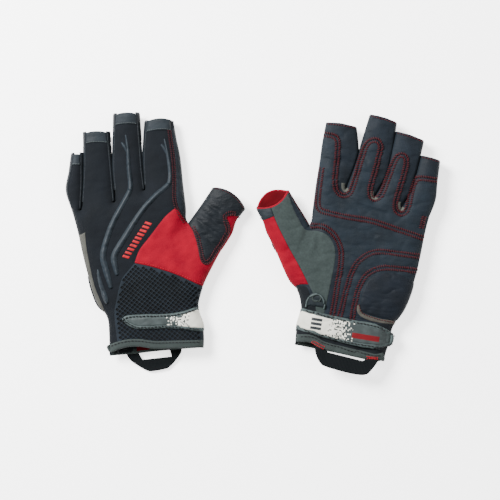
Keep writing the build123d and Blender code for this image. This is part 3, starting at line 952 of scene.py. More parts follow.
def leather(name, colour, grain=0.9, rough=0.62, wrinkle=0.35):
    """Synthetic leather: pebbled grain, soft mottling, and colour darker towards the edges of the grain's
    cells.
    """
    p = Paint(name, colour, rough, 0.1)
    pebble = p.cells(grain)
    mottle = p.noise(14, 4)
    fine = p.noise(0.35, 2)
    tone = p.ramp(mottle, 0.3, 0.72, shade(colour, 0.84), shade(colour, 1.16))
    tone = p.mix(p.math("MULTIPLY", pebble, 0.3), tone, shade(colour, 0.6))
    gloss = p.math("MULTIPLY_ADD", mottle, 0.25)
    gloss.node.inputs[2].default_value = rough - 0.12
    creased = p.noise(3.4, 4, p.place(0.9, (0.45, 1.2, 1)))
    bumps = [(creased, wrinkle, 1.4), (pebble, 0.55, 0.22), (fine, 0.3, 0.06)]
    return p.finish(tone, gloss, bumps, sheen=0.02)


def knit(name, colour, rib=0.55):
    """Fine stretch knit: narrow wales with small loops, painted paler on the raised loops as a highlight."""
    p = Paint(name, colour, 0.86, 0.12)
    wale = p.bands(rib, 0.0, "X", 0.4)
    loops = p.bands(rib * 0.8, 0.0, "Y", 0.4)
    weave = p.math("MULTIPLY", wale, loops)
    cloud = p.noise(18, 3)
    tone = p.ramp(cloud, 0.3, 0.7, shade(colour, 0.8), shade(colour, 1.2))
    # Painted highlight: the colour turns paler where the loops stand highest under the bump.
    tone = p.mix(p.math("MULTIPLY", weave, 0.35), tone, shade(colour, 1.7))
    return p.finish(tone, None, [(p.noise(6, 3), 0.3, 0.5), (weave, 0.5, 0.16)], sheen=0.02)


def twill(name, colour, pitch=0.8):
    """Woven cloth with fine slanted ribs, with painted shade in the valleys between them."""
    p = Paint(name, colour, 0.8, 0.06)
    slant = p.bands(pitch, math.radians(52), "X", 0.3)
    cross = p.bands(pitch * 0.55, math.radians(-38), "X", 0.3)
    weave = p.math("MULTIPLY", slant, p.math("ADD", p.math("MULTIPLY", cross, 0.5), 0.5))
    cloud = p.noise(11, 4)
    tone = p.ramp(cloud, 0.28, 0.72, shade(colour, 0.86), shade(colour, 1.08))
    # Painted shade: darker in the valleys between the ribs, where the bump sinks.
    valley_shade = p.math("MULTIPLY", p.math("SUBTRACT", 1.0, weave), 0.42)
    tone = p.mix(valley_shade, tone, shade(colour, 0.72))
    return p.finish(tone, None, [(p.noise(5, 3), 0.25, 0.5), (weave, 0.6, 0.2)], sheen=0.03)


def suede(name, colour):
    """Brushed suede: soft nap clouds and short fibres."""
    p = Paint(name, colour, 0.93, 0.08)
    nap = p.noise(1.6, 6)
    patch = p.noise(17, 3)
    tone = p.ramp(nap, 0.2, 0.8, shade(colour, 0.84), shade(colour, 1.12))
    tone = p.mix(p.math("MULTIPLY", patch, 0.35), tone, shade(colour, 0.8))
    return p.finish(tone, None, [(nap, 0.4, 0.35), (p.noise(0.5, 3), 0.5, 0.15)], sheen=0.1)


def webbing(name, colour, pitch=1.1):
    """Narrow woven tape with raised cross ribs, painted paler on the ribs and darker between them as light
    and shade.
    """
    p = Paint(name, colour, 0.78, 0.08)
    ribs = p.bands(pitch, 0.0, "X")
    ends = p.bands(pitch * 0.6, 0.0, "Y")
    weave = p.math("ADD", p.math("MULTIPLY", ribs, 0.6), p.math("MULTIPLY", ends, 0.4))
    # Painted light and shade: paler on the raised ribs, darker in the gaps between them.
    tone = p.ramp(weave, 0.2, 0.9, shade(colour, 0.7), shade(colour, 1.25))
    return p.finish(tone, None, [(weave, 0.8, 0.35), (p.noise(0.5, 3), 0.3, 0.1)], sheen=0.01)


def rubber(name, colour, rough=0.5):
    """Smooth moulded trim with faint scuffs."""
    p = Paint(name, colour, rough, 0.14)
    scuff = p.noise(2.2, 5)
    tone = p.ramp(scuff, 0.3, 0.75, shade(colour, 0.86), shade(colour, 1.16))
    gloss = p.math("MULTIPLY_ADD", scuff, 0.3)
    gloss.node.inputs[2].default_value = rough - 0.12
    return p.finish(tone, gloss, [(p.noise(0.7, 3), 0.25, 0.1)])


def thread(name, colour):
    """Twisted sewing thread, with painted light and shade along the twist."""
    p = Paint(name, colour, 0.6, 0.15)
    twist = p.bands(0.28, math.radians(35), "X", 0.6)
    # Painted light and shade: paler on the twist's ridges, darker in its grooves.
    tone = p.ramp(twist, 0.1, 0.9, shade(colour, 0.72), shade(colour, 1.2))
    return p.finish(tone, None, [(twist, 0.6, 0.1)], sheen=0.03)


def strap_print(name, grey, white, edges, blocks=()):
    """The strap's face: grey that breaks up in small squares into white, with plain printed blocks.

    edges are where the white starts and where it is whole; a block is (left, right, low, high, colour,
    pitch), and one with a pitch is a stack of level bands.
    """
    p = Paint(name, grey, 0.55, 0.14)
    parts = p.node("ShaderNodeSeparateXYZ", {0: p.plan})
    x, y = parts.outputs[0], parts.outputs[1]
    squares = {0: p.plan, 1: (SQUARE, SQUARE, 50.0)}
    snapped = p.node("ShaderNodeVectorMath", squares, operation="SNAP").outputs[0]
    chance = p.node("ShaderNodeTexWhiteNoise", {"Vector": snapped}, noise_dimensions="3D").outputs["Value"]
    share = p.node("ShaderNodeMapRange", {0: x, 1: edges[0], 2: edges[1], 3: 0.0, 4: 1.0}).outputs[0]
    cloud = p.noise(6, 4)
    base = p.ramp(cloud, 0.3, 0.7, shade(grey, 0.9), shade(grey, 1.12))
    pale = p.ramp(cloud, 0.3, 0.7, shade(white, 0.95), shade(white, 1.04))
    tone = p.mix(p.math("LESS_THAN", chance, share), base, pale)
    for left, right, low, high, colour, pitch in blocks:
        wide = p.math("MULTIPLY", p.math("GREATER_THAN", x, left), p.math("LESS_THAN", x, right))
        tall = p.math("MULTIPLY", p.math("GREATER_THAN", y, low), p.math("LESS_THAN", y, high))
        box = p.math("MULTIPLY", wide, tall)
        if pitch:
            share_of = p.math("FRACT", p.math("DIVIDE", p.math("SUBTRACT", y, low), pitch))
            box = p.math("MULTIPLY", box, p.math("LESS_THAN", share_of, BAND_SHARE))
        tone = p.mix(box, tone, colour)
    grain = p.cells(0.8)
    return p.finish(tone, None, [(grain, 0.35, 0.12), (p.noise(3, 3), 0.2, 0.3)])


# The strap print's squares, in millimetres, and the inked share of a banded block.
SQUARE, BAND_SHARE = 1.05, 0.66
KNIT_BLACK, HEM_SLATE, RIB_GREY = (5, 8, 12), (22, 27, 31), (22, 28, 33)
RED, LEATHER, OVERLAY = (113, 1, 22), (14, 20, 26), (15, 22, 28)
STRAP_GREY, STRAP_WHITE = (41, 47, 47), (176, 175, 165)
MAT = {
    "knit": knit("stretch_knit", KNIT_BLACK),
    "hem": leather("hem_leather", HEM_SLATE, 0.7, 0.6),
    "trim": rubber("raised_trim", RIB_GREY, 0.5),
    "red": twill("red_stretch_twill", RED),
    "shield": leather("thumb_leather", (10, 14, 18), 1.0, 0.58, 0.6),
    "edge_wrap": leather("edge_leather", (15, 20, 25), 0.8, 0.58),
    "side": leather("side_leather", (15, 19, 23), 0.7, 0.55),
    "mesh": knit("spacer_mesh", (14, 19, 24), 0.4),
    # Near black: partly the real layer under the wrist mesh, partly painted shade seen through its holes.
    "mesh_backing": knit("mesh_backing", (2, 3, 4), 0.6),
    "side_tape": twill("side_tape", (62, 62, 58), 0.6),
    "palm": leather("palm_leather", LEATHER, 0.85, 0.66),
    "overlay": leather("palm_overlay_leather", OVERLAY, 0.85, 0.66),
    "heel": leather("heel_leather", (10, 15, 21), 0.5, 0.64),
    "suede": suede("thumb_suede", (38, 45, 44)),
    # A red darkened below the outside red as painted shade inside the thumbs' openings; the size tab inside
    # the cuff uses it too.
    "lining": knit("dark_lining", (10, 12, 14), 0.8),
    "red_lining": twill("red_lining", (72, 1, 8), 0.7),
    "cuff": knit("cuff_neoprene", (8, 11, 14), 0.5),
    "binding": webbing("binding_tape", (43, 49, 48), 0.8),
    "webbing": webbing("loop_webbing", (5, 8, 10), 1.2),
    "thread": thread("red_thread", (48, 2, 9)),
    "grey_thread": thread("grey_thread", (66, 72, 72)),
    "dark_thread": thread("dark_thread", (14, 16, 18)),
    "red_mark": rubber("red_print", (126, 10, 20), 0.6),
    "badge": rubber("badge_rubber", (17, 23, 26), 0.6),
    "heel_tape": twill("heel_tape", (66, 64, 59), 0.6),
    "crotch": leather("crotch_leather", (54, 55, 51), 0.7, 0.7),
    "hook_field": suede("hook_field", (40, 44, 46)),
    "loop_field": suede("loop_field", (18, 21, 24)),
    # The strap's rim, paler than its face: partly its own grey, partly a painted highlight along the rim; the
    # badge's rim uses it too.
    "strap_edge": rubber("strap_edge", (50, 58, 58), 0.65),
    "base_strap": strap_print("strap_base_print", STRAP_GREY, STRAP_WHITE, (11.0, 33.0)),
    "tab_strap": strap_print("strap_tab_print", STRAP_GREY, STRAP_WHITE, (-6.0, 17.0), (
        (-28.0, -4.2, -27.2, -22.7, (78, 3, 9), 0), (22.6, 32.0, -25.4, -14.6, (30, 34, 36), 3.7))),
}


# ---------------------------------------------------------------- one glove

# The wrist mesh's hole pitch and radius, and the bars of the mark on the back.
MESH_PITCH, MESH_HOLE = 4.4, 1.63
MARK_BARS = 10
# How far down a lining shows inside a tip.
LINING_DEPTH = {"finger": 9.0, "thumb": 15.0}
# A finger's hem band: its depth, how far it stops from the sides, and the bow of its low edge.
HEM_DEPTH, HEM_INSET, HEM_BOW = 9.2, 1.9, 0.7
# Widths along a rib (places from 0 to 1, then shares of its section): the strand, then its fork.
RIB_TAPER = (([0, 0.1, 0.3, 0.9, 1], [0.3, 0.6, 0.85, 1.15, 0.7]), ([0, 0.4, 1], [0.35, 0.7, 0.4]))


def tape_section(width, rise, sink=0.4):
    """A low, rounded strip."""
    half = width / 2
    right = [(half * 0.3, rise), (half * 0.72, rise * 0.8), (half * 0.98, rise * 0.25), (half, -sink)]
    return [(-across, up) for across, up in reversed(right)] + right


def rib_section(width, rise):
    """A bonded trim: thin flanges and a raised bead."""
    half = width / 2
    right = [(half * 0.15, rise), (half * 0.42, rise * 0.8), (half * 0.55, 0.3), (half, 0.22), (half, -0.3)]
    return [(-across, up) for across, up in reversed(right)] + right


RIB_SECTION = {"index": rib_section(4.8, 1.1), "middle": rib_section(4.8, 1.1), "ring": rib_section(4.0, 1.0)}


def split_line(glove, line):
    """The stretches of a plan line with the body each goes with, meeting at the digits' bases."""
    owners = glove.owner(line)
    cuts = [0] + [i for i in range(1, len(line)) if owners[i] != owners[i - 1]] + [len(line)]
    return [(owners[a], line[max(a - 1, 0):b]) for a, b in zip(cuts, cuts[1:]) if b - a > 2]


def back_lines(glove):
    """The drawn lines of the back, as curves in this glove's plan."""
    lines = {"red_side": RED_SIDE, "red_foot": RED_FOOT, "red_top": RED_TOP, "mesh_side": MESH_SIDE,
             "wrap": WRAP_EDGE, "shield": THUMB_SHIELD, "strip": OUTER_STRIP, "mark": MARK_LINE}
    return {key: glove.line(BACK, points) for key, points in lines.items()}


def build_ribs(glove):
    """The bonded ribs, each tapered along its length and cut where a digit's joint is."""
    nodes = ["back_ribs"]
    for d, strands in RIBS.items():
        for k, strand in enumerate(strands):
            line = glove.line(BACK, strand, 1.2)
            taper = np.interp(np.linspace(0, 1, len(line)), *RIB_TAPER[min(k, 1)])
            for owner, bit in split_line(glove, line):
                start = nearest_index(line, bit[0])
                title = f"back_rib_{d}_{k}" if owner == "hand" else f"{owner}_rib_{k}"
                stands_for = nodes if owner == "hand" else []
                sweep(glove, title, BACK, bit, RIB_SECTION[d], MAT["trim"], owner, stands_for,
                      taper[start:start + len(bit)])
                nodes = [] if owner == "hand" else nodes


def build_mark(glove, a, b):
    """A plain row of slanted bars from a to b."""
    ahead = (b - a) / np.linalg.norm(b - a)
    wide, tall, lean = ahead * 1.25, np.array([ahead[1], -ahead[0]]) * 2.9, ahead * 0.8
    for k in range(MARK_BARS):
        middle = a + (b - a) * (k + 0.5) / MARK_BARS
        corner = [middle - wide - tall - lean, middle + wide - tall - lean, middle + wide + tall + lean,
                  middle - wide + tall + lean]
        loop = outline(corner, 1.0)
        Sheet(glove, BACK, loop, 1.0, (0.35,), 0.3, 0.5, edge=0.3).make(
            f"mark_{k}", MAT["red_mark"])


def build_back(glove):
    """The back's base sheets and the panels, ribs and seams on them."""
    name = glove.name
    lines = back_lines(glove)
    reach = {d: REACH[name][d] for d in DIGITS}
    bow = BOW[name][BACK]
    foot, side, top = lines["red_foot"], lines["red_side"], lines["red_top"]
    shield, wrap = lines["shield"], lines["wrap"]
    glove.rows[BACK] = double(shield[3:-4], 1.3, 3.6)
    glove.creases[BACK] = [(segments([foot]), 0.5, 1.6), (segments([side]), 0.45, 1.4)]
    glove.creases[BACK].append((segments(glove.rows[BACK]), 0.3, 0.9))
    shells(glove, BACK, MAT["knit"])

    thumb_in = glove.up_side("thumb", 0, 0, reach["thumb"])
    thumb_out = glove.up_side("thumb", 1, 0, reach["thumb"])
    thumb_end = glove.end_arc("thumb", reach["thumb"], bow["thumb"])
    web_low = cut(glove.web, glove.web[0], top[0])
    web_top = cut(glove.web, top[0], glove.web[-1])
    heel_top = cut(glove.heel, foot[-1], glove.heel[-1])

    gusset = close(side, foot[1:-1], heel_top, thumb_out, thumb_end[::-1], thumb_in[::-1], web_low, top[1:])
    Sheet(glove, BACK, gusset, 1.5, DEEP_RIM, 0.5).make(
        "thumb_gusset", MAT["red"], {"hand": ["thumb_gusset"]})

    out_top = cut(thumb_out, shield[-1], thumb_out[-1])
    patch = close(shield[:-1], out_top, thumb_end[::-1], thumb_in[::-1])
    Sheet(glove, BACK, patch, 1.3, DEEP_RIM, 1.0, 0.9, edge=0.7).make(
        "thumb_shield", MAT["shield"], {"thumb": ["thumb_hem"]})

    lip = smooth(LIPS[name][BACK])
    heel_low = cut(glove.heel, foot[-1], lip[-1])
    mesh_low = cut(lip, lip[-1], lines["mesh_side"][-1])
    mesh = close(foot[:-1], heel_low, mesh_low, lines["mesh_side"][::-1][1:])
    # The backing's near-black is partly its own colour and partly painted shade in the mesh's holes.
    Sheet(glove, BACK, mesh, 2.4, TRIM_RIM, 0.15, 0.5, edge=0).make(
        "mesh_backing", MAT["mesh_backing"])
    holes = lattice(mesh, MESH_PITCH, MESH_HOLE)
    Sheet(glove, BACK, mesh, 2.2, THIN_RIM, 0.75, 0.55, holes, 0.5).make(
        "wrist_mesh", MAT["mesh"], {"hand": ["wrist_mesh"]})

    index_edge = glove.up_side("index", 1, 0, reach["index"])
    strip_loop = close(wrap, web_top[1:], index_edge)
    Sheet(glove, BACK, strip_loop, 1.2, SOFT_RIM, 0.5, 0.8, edge=0.5).make(
        "edge_wrap", MAT["edge_wrap"])

    outer_bit = cut(glove.outer, lines["strip"][-1], lines["strip"][0])
    Sheet(glove, BACK, close(lines["strip"], outer_bit), 1.3, TRIM_RIM, 0.45, 0.7, edge=0.5).make(
        "side_tape", MAT["side_tape"])

    for d in FINGERS:
        tip = glove.end_arc(d, reach[d] + 0.2, bow[d], HEM_INSET)
        low = glove.end_arc(d, reach[d] - HEM_DEPTH, bow[d] * HEM_BOW, HEM_INSET)
        Sheet(glove, BACK, close(tip, low[::-1]), 1.1, (0.4, 0.9), 0.75, 1.9, edge=0.6).make(
            "hem", MAT["hem"], {d: [f"{d}_hem"]})
        for which in (0, 1):
            if d == "index" and which == 1:
                continue
            edge = glove.up_side(d, which, 0.5, reach[d] + PROUD[name])
            _, left = side_normals(edge)
            inward = -left if which == 0 else left
            width = np.interp(np.linspace(0, 1, len(edge)), [0, 0.25, 1], [1.2, 2.0, 2.5])[:, None]
            strip_loop = close(edge, (edge + inward * width)[::-1])
            piece = Sheet(glove, BACK, strip_loop, 1.1, TRIM_RIM, 0.5, 1.0, edge=0.3, whole=True)
            piece.make(f"{d}_side_{which}", MAT["side"], body=d)

    build_ribs(glove)

    build_mark(glove, lines["mark"][0], lines["mark"][-1])

    thumb_row = glove.end_arc("thumb", reach["thumb"] - 1.8, bow["thumb"], 1.5)
    groups = [stitches(glove, BACK, glove.rows[BACK], 1.8, 0.46, 1.15, 0.9),
              stitches(glove, BACK, double(wrap, -0.9, -2.9), 1.8, 0.36, 0.65, 0.6),
              stitches(glove, BACK, [thumb_row], 2.2, 0.28, 1.1, 0.2)]
    sew(glove, "back_stitching", groups, MAT["thread"])
    groups = [stitches(glove, BACK, [offset_line(foot, 1.5)], 2.2, 0.22, 0.55, 0)]
    sew(glove, "gusset_stitching", groups, MAT["red_mark"])
    rows = [glove.end_arc(d, reach[d] - HEM_DEPTH + 1, bow[d] * HEM_BOW, 3.0) for d in FINGERS]
    sew(glove, "hem_stitching", [stitches(glove, BACK, [row], 1.9, 0.2, 0.8, 0) for row in rows],
        MAT["grey_thread"])


def lattice(loop, pitch, radius):
    """Rounded diamond holes in staggered rows, well inside a loop."""
    low, high = loop.min(0), loop.max(0)
    rows = np.arange(low[1], high[1], pitch * 0.46)
    columns = np.arange(low[0], high[0], pitch)
    centres = np.array([(x + k % 2 * pitch / 2, y) for k, y in enumerate(rows) for x in columns])
    away = distance(centres, segments([np.vstack([loop, loop[:1]])]))
    centres = centres[inside(centres, loop) & (away > radius + 0.4)]
    angle = np.arange(8) * math.tau / 8
    size = radius * np.where(np.arange(8) % 2, 0.8, 1.0)
    ring = np.stack([np.cos(angle) * size, np.sin(angle) * size * 0.92], 1)
    return [c + ring for c in centres]


def build_palm(glove):
    """The palm's base sheets, overlay, suede, heel pad and their double stitching."""
    name = glove.name
    reach = {d: REACH[name][d] for d in DIGITS}
    bow = BOW[name][PALM]
    serpent = glove.line(PALM, SERPENTINE)
    lines = {key: glove.line(PALM, points) for key, points in PALM_LINES.items()}
    suede_out, suede_in = glove.line(PALM, SUEDE_OUTER), glove.line(PALM, SUEDE_INNER)
    rows = double(serpent, 1.3, -1.7)
    for key in ("cross", "arc_high", "arc_low"):
        rows += double(lines[key], 1.5, -1.5)
    rows += double(lines["thumb"], 0.2, -2.8)
    rows += double(glove.line(PALM, LITTLE_TACK), 0.0, 2.4)
    glove.rows[PALM] = rows
    glove.creases[PALM] = [(segments(rows), 0.35, 0.9)]
    for fold in PALM_FOLDS:
        glove.creases[PALM].append((segments([glove.line(PALM, fold)]), 1.5, 2.9))
    shells(glove, PALM, MAT["palm"])

    lip = smooth(LIPS[name][PALM])
    index_top = nearest_index(glove.sides["index"][1], serpent[0])
    little_top = nearest_index(glove.sides["little"][0], serpent[-1])
    index_side = glove.sides["index"][1][:index_top + 1]
    little_side = glove.sides["little"][0][:little_top + 1]
    outer = cut(glove.outer, glove.outer[-1], np.array([-39, WRIST_Y - 2]))
    web = cut(glove.web, lines["thumb"][0], glove.web[-1])
    overlay = close(serpent, little_side[::-1], outer, lines["thumb"][::-1], web, index_side)
    Sheet(glove, PALM, overlay, 1.6, (0.12, 0.5, 1.2), 0.5, 0.8, edge=0.7).make(
        "palm_overlay", MAT["overlay"], {"hand": ["palm_overlay"]})

    thumb_out = glove.up_side("thumb", 1, 0, reach["thumb"])
    thumb_end = glove.end_arc("thumb", reach["thumb"], bow["thumb"])
    middle_end = cut(thumb_end, suede_in[0], suede_out[0])
    patch = close(suede_out[::-1], middle_end[::-1], suede_in)
    Sheet(glove, PALM, patch, 1.5, (0.5, 1.1), 0.45, 0.8, edge=0.8).make(
        "suede_patch", MAT["suede"])

    heel_up = cut(glove.heel, np.array(glove.carry[PALM]([RED_CUFF_LINE[0]])[0]), glove.heel[-1])
    red_out = cut(suede_out, suede_out[0], glove.carry[PALM]([RED_CUFF_LINE[1]])[0])
    low_end = cut(thumb_end, suede_out[0], thumb_end[-1])
    red = close(heel_up, thumb_out, low_end[::-1], red_out)
    Sheet(glove, PALM, red, 1.5, SOFT_RIM, 0.4, 0.8, edge=0.4).make("red_side", MAT["red"])
    hem_low = glove.up_side("thumb", 1, reach["thumb"] - 11.5, reach["thumb"])
    start = glove.station("thumb", reach["thumb"] - 13.0, 4.4)[0]
    across = resample([start, hem_low[0]], 1.2)
    up = cut(suede_out, suede_out[0], start)
    hem = close(across[:-1], hem_low, low_end[::-1], up)
    Sheet(glove, PALM, hem, 1.2, TRIM_RIM, 0.8, 0.8, edge=0.4).make("palm_hem", MAT["hem"])

    pad_line = glove.line(PALM, HEEL_PAD, 1.2)
    pad_edge = cut(glove.outer, pad_line[-1], pad_line[0])
    pad = close(pad_line, pad_edge)
    pad_segs = segments([pad_line])
    puff = lambda points: 1.1 * (1 - np.exp(-distance(points, pad_segs) / 4.5))
    made = Sheet(glove, PALM, pad, 1.3, (0.12, 0.4, 0.9, 1.6, 2.6), 0.7, 2.2, edge=1.4, raised=puff).make(
        "heel_pad", MAT["heel"], {"hand": ["heel_pad"]})
    trim_low = glove.line(PALM, HEEL_TRIM, 1.2)
    trim_high = cut(pad_line, glove.carry[PALM]([(-7.0, 3.0)])[0], pad_line[-1])
    trim = close(trim_low, cut(glove.outer, trim_low[-1], trim_high[-1]), trim_high[::-1])
    Sheet(glove, PALM, trim, 1.3, (0.4,), 0.65, 0.7, edge=0.5).make(
        "heel_tape", MAT["heel_tape"])

    cuff_top = glove.line(PALM, CUFF_TOP)
    cuff_side = cut(glove.outer, lip[0], cuff_top[0])
    cuff_heel = cut(glove.heel, lip[-1], cuff_top[-1])
    band = close(lip[::-1], cuff_side, cuff_top[1:-1], cuff_heel[::-1])
    Sheet(glove, PALM, band, 1.8, TRIM_RIM, 0.35, 0.8, edge=0.6).make(
        "wrist_cuff", MAT["cuff"], {"hand": ["wrist_cuff"]})

    ends = [glove.end_arc(d, reach[d] - 1.5, bow[d], 0.8) for d in FINGERS]
    groups = [stitches(glove, PALM, rows, 1.8, 0.52, 0.7, 1.1),
              stitches(glove, PALM, ends, 2.2, 0.42, 0.1, 0.2),
              stitches(glove, PALM, [offset_line(trim_high, 0.9)], 2.3, 0.4, 0.9, 0.3)]
    sew(glove, "palm_stitching", groups, MAT["thread"])


def flat_sheet(glove, name, loop, height, thickness, material, owner, nodes=(), edge=0.5, sag=None):
    """A closed sheet at its own height in the glove's frame, not laid on the hand, with a round rim."""
    points, faces = triangles(loop, 1.8, (0.15, 0.5, 1.1))
    away = distance(points, segments([np.vstack([loop, loop[:1]])]))
    rise = thickness / 2 * np.sqrt(1 - (1 - np.clip(away / edge, 0, 1)) ** 2)
    z = height + (sag(points) if sag else np.zeros(len(points)))
    top = np.column_stack([points, z + rise])
    low = np.column_stack([points, z - rise])
    count = len(points)
    half = np.vstack([faces[:, [0, 1]], faces[:, [1, 2]], faces[:, [2, 0]]])
    seen = {tuple(e) for e in half.tolist()}
    walls = [(b, a, a + count, b + count) for a, b in half.tolist() if (b, a) not in seen]
    every = faces.tolist() + (faces[:, ::-1] + count).tolist() + walls
    return mesh_object(glove, name, np.vstack([top, low]), every, material, owner, nodes)


def build_wrist(glove):
    """The strap, its fastener fields and its printed face on both sides of the wrist."""
    upper = glove.line(BACK, STRAP_BACK_TOP)
    lower = glove.line(BACK, STRAP_BACK_FOOT)
    wrap = cut(glove.heel, lower[-1], upper[-1])
    base = close(lower, wrap[1:-1], upper[::-1])
    slack = lambda points: 0.9 * step_up(distance(points, glove.segs["hand"]), 0, 9)
    # The strap's body, whose paler rim is partly a painted highlight.
    Sheet(glove, BACK, base, 1.5, STRAP_RIM, 1.3, 1.5, edge=0.8, raised=slack, whole=True).make(
        "strap_base", MAT["strap_edge"], {"hand": ["strap_base"]}, body="hand")
    face = close(offset_line(lower, 2.7)[2:], wrap[2:-2], offset_line(upper, -2.5)[2:][::-1])
    Sheet(glove, BACK, face, 1.5, TRIM_RIM, 1.6, 0.6, edge=0.4, raised=slack, whole=True).make(
        "strap_base_face", MAT["base_strap"], body="hand")
    rim = [offset_line(upper, -1.7)[:-2], offset_line(lower, 1.8)[:-3]]
    sew(glove, "strap_stitching", [stitches(glove, BACK, rim, 2.9, 0.5, 2.7, 0)], MAT["dark_thread"])

    tab_up, tab_low = smooth(STRAP_TAB_TOP), smooth(STRAP_TAB_FOOT)
    for line in (tab_up, tab_low):
        line[:, 0] += TAB_SHORT[glove.name] * step_up(-line[:, 0], 10, 40)
    edge_line = cut(glove.heel, tab_low[-1], tab_up[0])
    drop = lambda points: 1.9 * step_up(distance(points, glove.segs["hand"]), 2, 13)
    tab = close(tab_up[1:], tab_low[1:-1], edge_line)
    Sheet(glove, PALM, tab, 1.4, STRAP_RIM, 1.3, 1.5, edge=0.7, raised=drop, whole=True).make(
        "strap_tab", MAT["strap_edge"], {"strap": ["strap_tab"]}, body="strap")
    inner_low = offset_line(tab_low, 2.6)
    face = close(offset_line(tab_up, 2.5)[2:-1], inner_low[1:-2], edge_line[2:-2])
    Sheet(glove, PALM, face, 1.4, TRIM_RIM, 1.5, 0.6, edge=0.4, raised=drop, whole=True).make(
        "strap_tab_face", MAT["tab_strap"], body="strap")
    rows = [offset_line(tab_up, 1.7)[4:-1], offset_line(tab_low, 1.8)[1:-4]]
    rim = stitches(glove, PALM, rows, 2.9, 0.5, 3.7, 0)
    sew(glove, "strap_tab_stitching", [{"strap": join_blocks(rim)}], MAT["dark_thread"])

    Sheet(glove, PALM, outline(LOOP_FIELD, 1.5), 1.5, THIN_RIM, 1.0, 0.8, edge=0.5, whole=True).make(
        "loop_patch", MAT["loop_field"], {"hand": ["loop_patch"]}, body="hand")
    Sheet(glove, PALM, outline(HOOK_FIELD, 1.5), 1.5, THIN_RIM, 1.75, 0.6, edge=0.4, whole=True).make(
        "hook_patch", MAT["hook_field"], {"strap": ["hook_patch"]}, body="strap")


def join_blocks(groups):
    """All the stitches of several bodies as one block, for a strip that rides on one body."""
    blocks = list(groups.values())
    return np.concatenate([b[0] for b in blocks]), blocks[0][1]


def build_mouth(glove):
    """The cuff's binding and lining, the bar tacks, the pull loop and the badge."""
    name = glove.name
    for side, nodes in ((BACK, ["cuff_binding"]), (PALM, [])):
        lip = resample(smooth(LIPS[name][side]), 1.5)
        title = "cuff_binding" if side == BACK else "cuff_binding_palm"
        sweep(glove, title, side, lip, BINDING_SECTION, MAT["binding"], "hand", nodes)
        inside_line = offset_line(lip, 1.0)
        lining = close(inside_line, (inside_line + [0, 30.0])[::-1])
        keep = inside(lining, close(glove.outer, glove.heel[::-1]))
        lining = close(resample(lining[keep], 1.6))
        Sheet(glove, side, lining, 2.6, THIN_RIM, -1.35, 0.5, edge=0, whole=True).make(
            f"cuff_lining_{LABEL[side]}", MAT["lining"], body="hand")
        rows = [offset_line(lip, 4.3)[2:-2]]
        groups = [stitches(glove, side, rows, 2.9, 0.45, 1.1, 0)]
        sew(glove, f"binding_stitching_{LABEL[side]}", groups, MAT["dark_thread"])

    low = cut(smooth(LIPS[name][PALM]), np.array([-16.0, -43]), np.array([-5.0, -43]))
    tag = close(low + [0, 1.4], (low + [0, 5.0])[::-1])
    tag = resample(np.vstack([tag, tag[:1]]), 1.0)[:-1]
    Sheet(glove, PALM, tag, 1.2, (0.3,), -2.1, 0.5, edge=0, whole=True).make(
        "size_tab", MAT["red_lining"], body="hand")
    tacks = [resample(line, 1.0) for line in TACKS[name]]
    rows = [offset_line(line, k) for line in tacks for k in (-1.0, 1.0)]
    obj = sew(glove, "bar_tacks", [stitches(glove, PALM, rows, 1.3, 0.36, 1.4, 0.3)], MAT["red_mark"])
    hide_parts(f"{name}_bar_tacks")

    outer, inner = LOOPS[name]
    outer = smooth(outer, 1.5) + [0, LOOP_HINGE[1]]
    inner = np.vstack([resample(pair, 1.5)[:-1] for pair in zip(inner, inner[1:])]) + [0, LOOP_HINGE[1]]
    droop = lambda points: -1.6 * step_up(-points[:, 1], 46, 60) + 0.35 * wave(points, 14, 2)
    flat_sheet(glove, "pull_loop", close(outer, inner), LOOP_HINGE[2], 1.5, MAT["webbing"], "loop",
               ["pull_loop"], 0.6, droop)

    badge_line = glove.line(PALM, BADGE, 1.1)
    badge = close(badge_line)
    Sheet(glove, PALM, badge, 1.1, (0.4, 0.9, 1.6), 1.3, 1.6, edge=0.9).make(
        "badge", MAT["badge"])
    sweep(glove, "badge_rim", PALM, offset_line(badge_line, -1.3), tape_section(1.5, 2.1, -0.9),
          MAT["strap_edge"], "hand")
    middle = badge.mean(0) + [0, 0.9]
    turn = np.linspace(0, math.tau, 33)
    ring = middle + np.stack([np.cos(turn) * 3.6, np.sin(turn) * 3.1], 1)
    sweep(glove, "badge_ring", PALM, ring, tape_section(1.2, 2.0, -0.9), MAT["binding"], "hand")


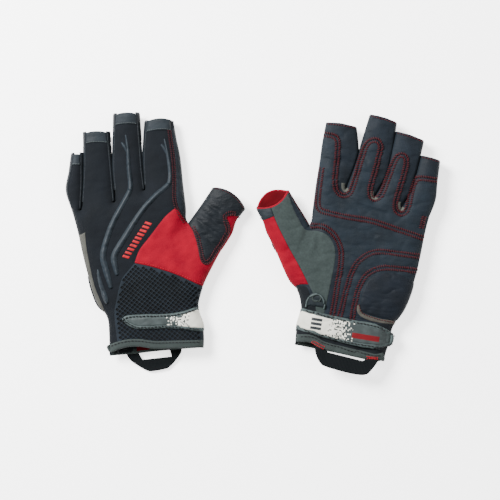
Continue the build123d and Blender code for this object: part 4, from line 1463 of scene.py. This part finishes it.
def build_linings(glove):
    """What shows inside the tips: a red lining and piping in the thumb, with the lining's red darkened as
    painted shade, and dark cloth in the fingers.
    """
    name = glove.name
    for side, label in LABEL.items():
        for d in DIGITS:
            reach, bow = REACH[name][d], BOW[name][side][d]
            deep = LINING_DEPTH["thumb" if d == "thumb" else "finger"]
            tip, end = glove.end_arc(d, reach - 0.5, bow, 0.5), glove.end_arc(d, reach - deep, 0, 0.5)
            # The thumb's red lining is darkened as painted shade.
            cloth, slot = ("red_lining", "red_fabric") if d == "thumb" else ("lining", "stretch_fabric")
            Sheet(glove, side, close(tip, end[::-1]), 1.5, (0.3, 0.9), -1.3, 0.5, edge=0, whole=True).make(
                f"{d}_lining_{label}", MAT[cloth], body=d)
            if d == "thumb" and name == "glove2":
                arc = glove.end_arc(d, reach, bow, 0.1)
                ring = [(0.9 * math.cos(a), -0.6 + 0.9 * math.sin(a)) for a in np.arange(8) * math.tau / 8]
                sweep(glove, f"thumb_piping_{label}", side, arc, ring, MAT["red"], d)
    for a, b in zip(FINGERS, FINGERS[1:]):
        low = (glove.sides[a][0][0] + glove.sides[b][1][0]) / 2
        ahead = (glove.lean[a][0] + glove.lean[b][0]) / 2
        right = np.array([ahead[1], -ahead[0]])
        path = smooth([low + right * x + ahead * y for x, y in CROTCH_BAND], 0.8)
        sweep(glove, f"crotch_{a}", PALM, path, tape_section(3.2, 0.9), MAT["crotch"], "hand")
        web = smooth([low + right * x + ahead * y for x, y in CROTCH_WEB], 0.8)[:-1]
        flat_sheet(glove, f"crotch_web_{a}", close(web), CROTCH_WEB_HEIGHT, 1.2, MAT["side"], "hand")


for glove in [Glove("glove1"), Glove("glove2")]:
    build_back(glove)
    build_palm(glove)
    build_wrist(glove)
    build_mouth(glove)
    build_linings(glove)

# ---------------------------------------------------------------- stage, light and camera

FLOOR_HALF = 6.0
# The camera looks straight down from here.
CAMERA_AT = (-0.0030, -0.0056, 1.205)

mesh = bpy.data.meshes.new("floor")
corners = [(FLOOR_HALF * x, FLOOR_HALF * y, 0) for x, y in ((-1, -1), (1, -1), (1, 1), (-1, 1))]
mesh.from_pydata(corners, [], [(0, 1, 2, 3)])
floor = bpy.data.objects.new("floor", mesh)
bpy.context.scene.collection.objects.link(floor)
paint = Paint("pale_floor", (246, 246, 246), 0.9)
paint.shader.inputs["Emission Color"].default_value = (1, 1, 1, 1)
paint.shader.inputs["Emission Strength"].default_value = 1.9
tone = paint.ramp(paint.noise(300, 2), 0.3, 0.7, (243, 243, 243), (248, 248, 248))
mesh.materials.append(paint.finish(tone))

world = bpy.data.worlds.new("studio")
bpy.context.scene.world = world
world.use_nodes = True
world.node_tree.nodes["Background"].inputs[0].default_value = (1, 1, 1, 1)
world.node_tree.nodes["Background"].inputs[1].default_value = 0.72


def softbox(name, place, power, size):
    """A square area light that faces the gloves."""
    lamp = bpy.data.lights.new(name, "AREA")
    lamp.energy, lamp.size = power, size
    obj = bpy.data.objects.new(name, lamp)
    obj.location = place
    obj.rotation_euler = (Vector((0, 0, 0)) - Vector(place)).to_track_quat("-Z", "Y").to_euler()
    bpy.context.scene.collection.objects.link(obj)


softbox("key", (-0.8, 0.6, 1.0), 94, 0.55)
softbox("fill", (0.9, 0.1, 1.0), 10, 0.9)

lens = bpy.data.cameras.new("camera")
lens.lens, lens.sensor_width, lens.clip_start = 100, 36, 0.05
camera = bpy.data.objects.new("camera", lens)
camera.location = CAMERA_AT
bpy.context.scene.collection.objects.link(camera)
bpy.context.scene.camera = camera
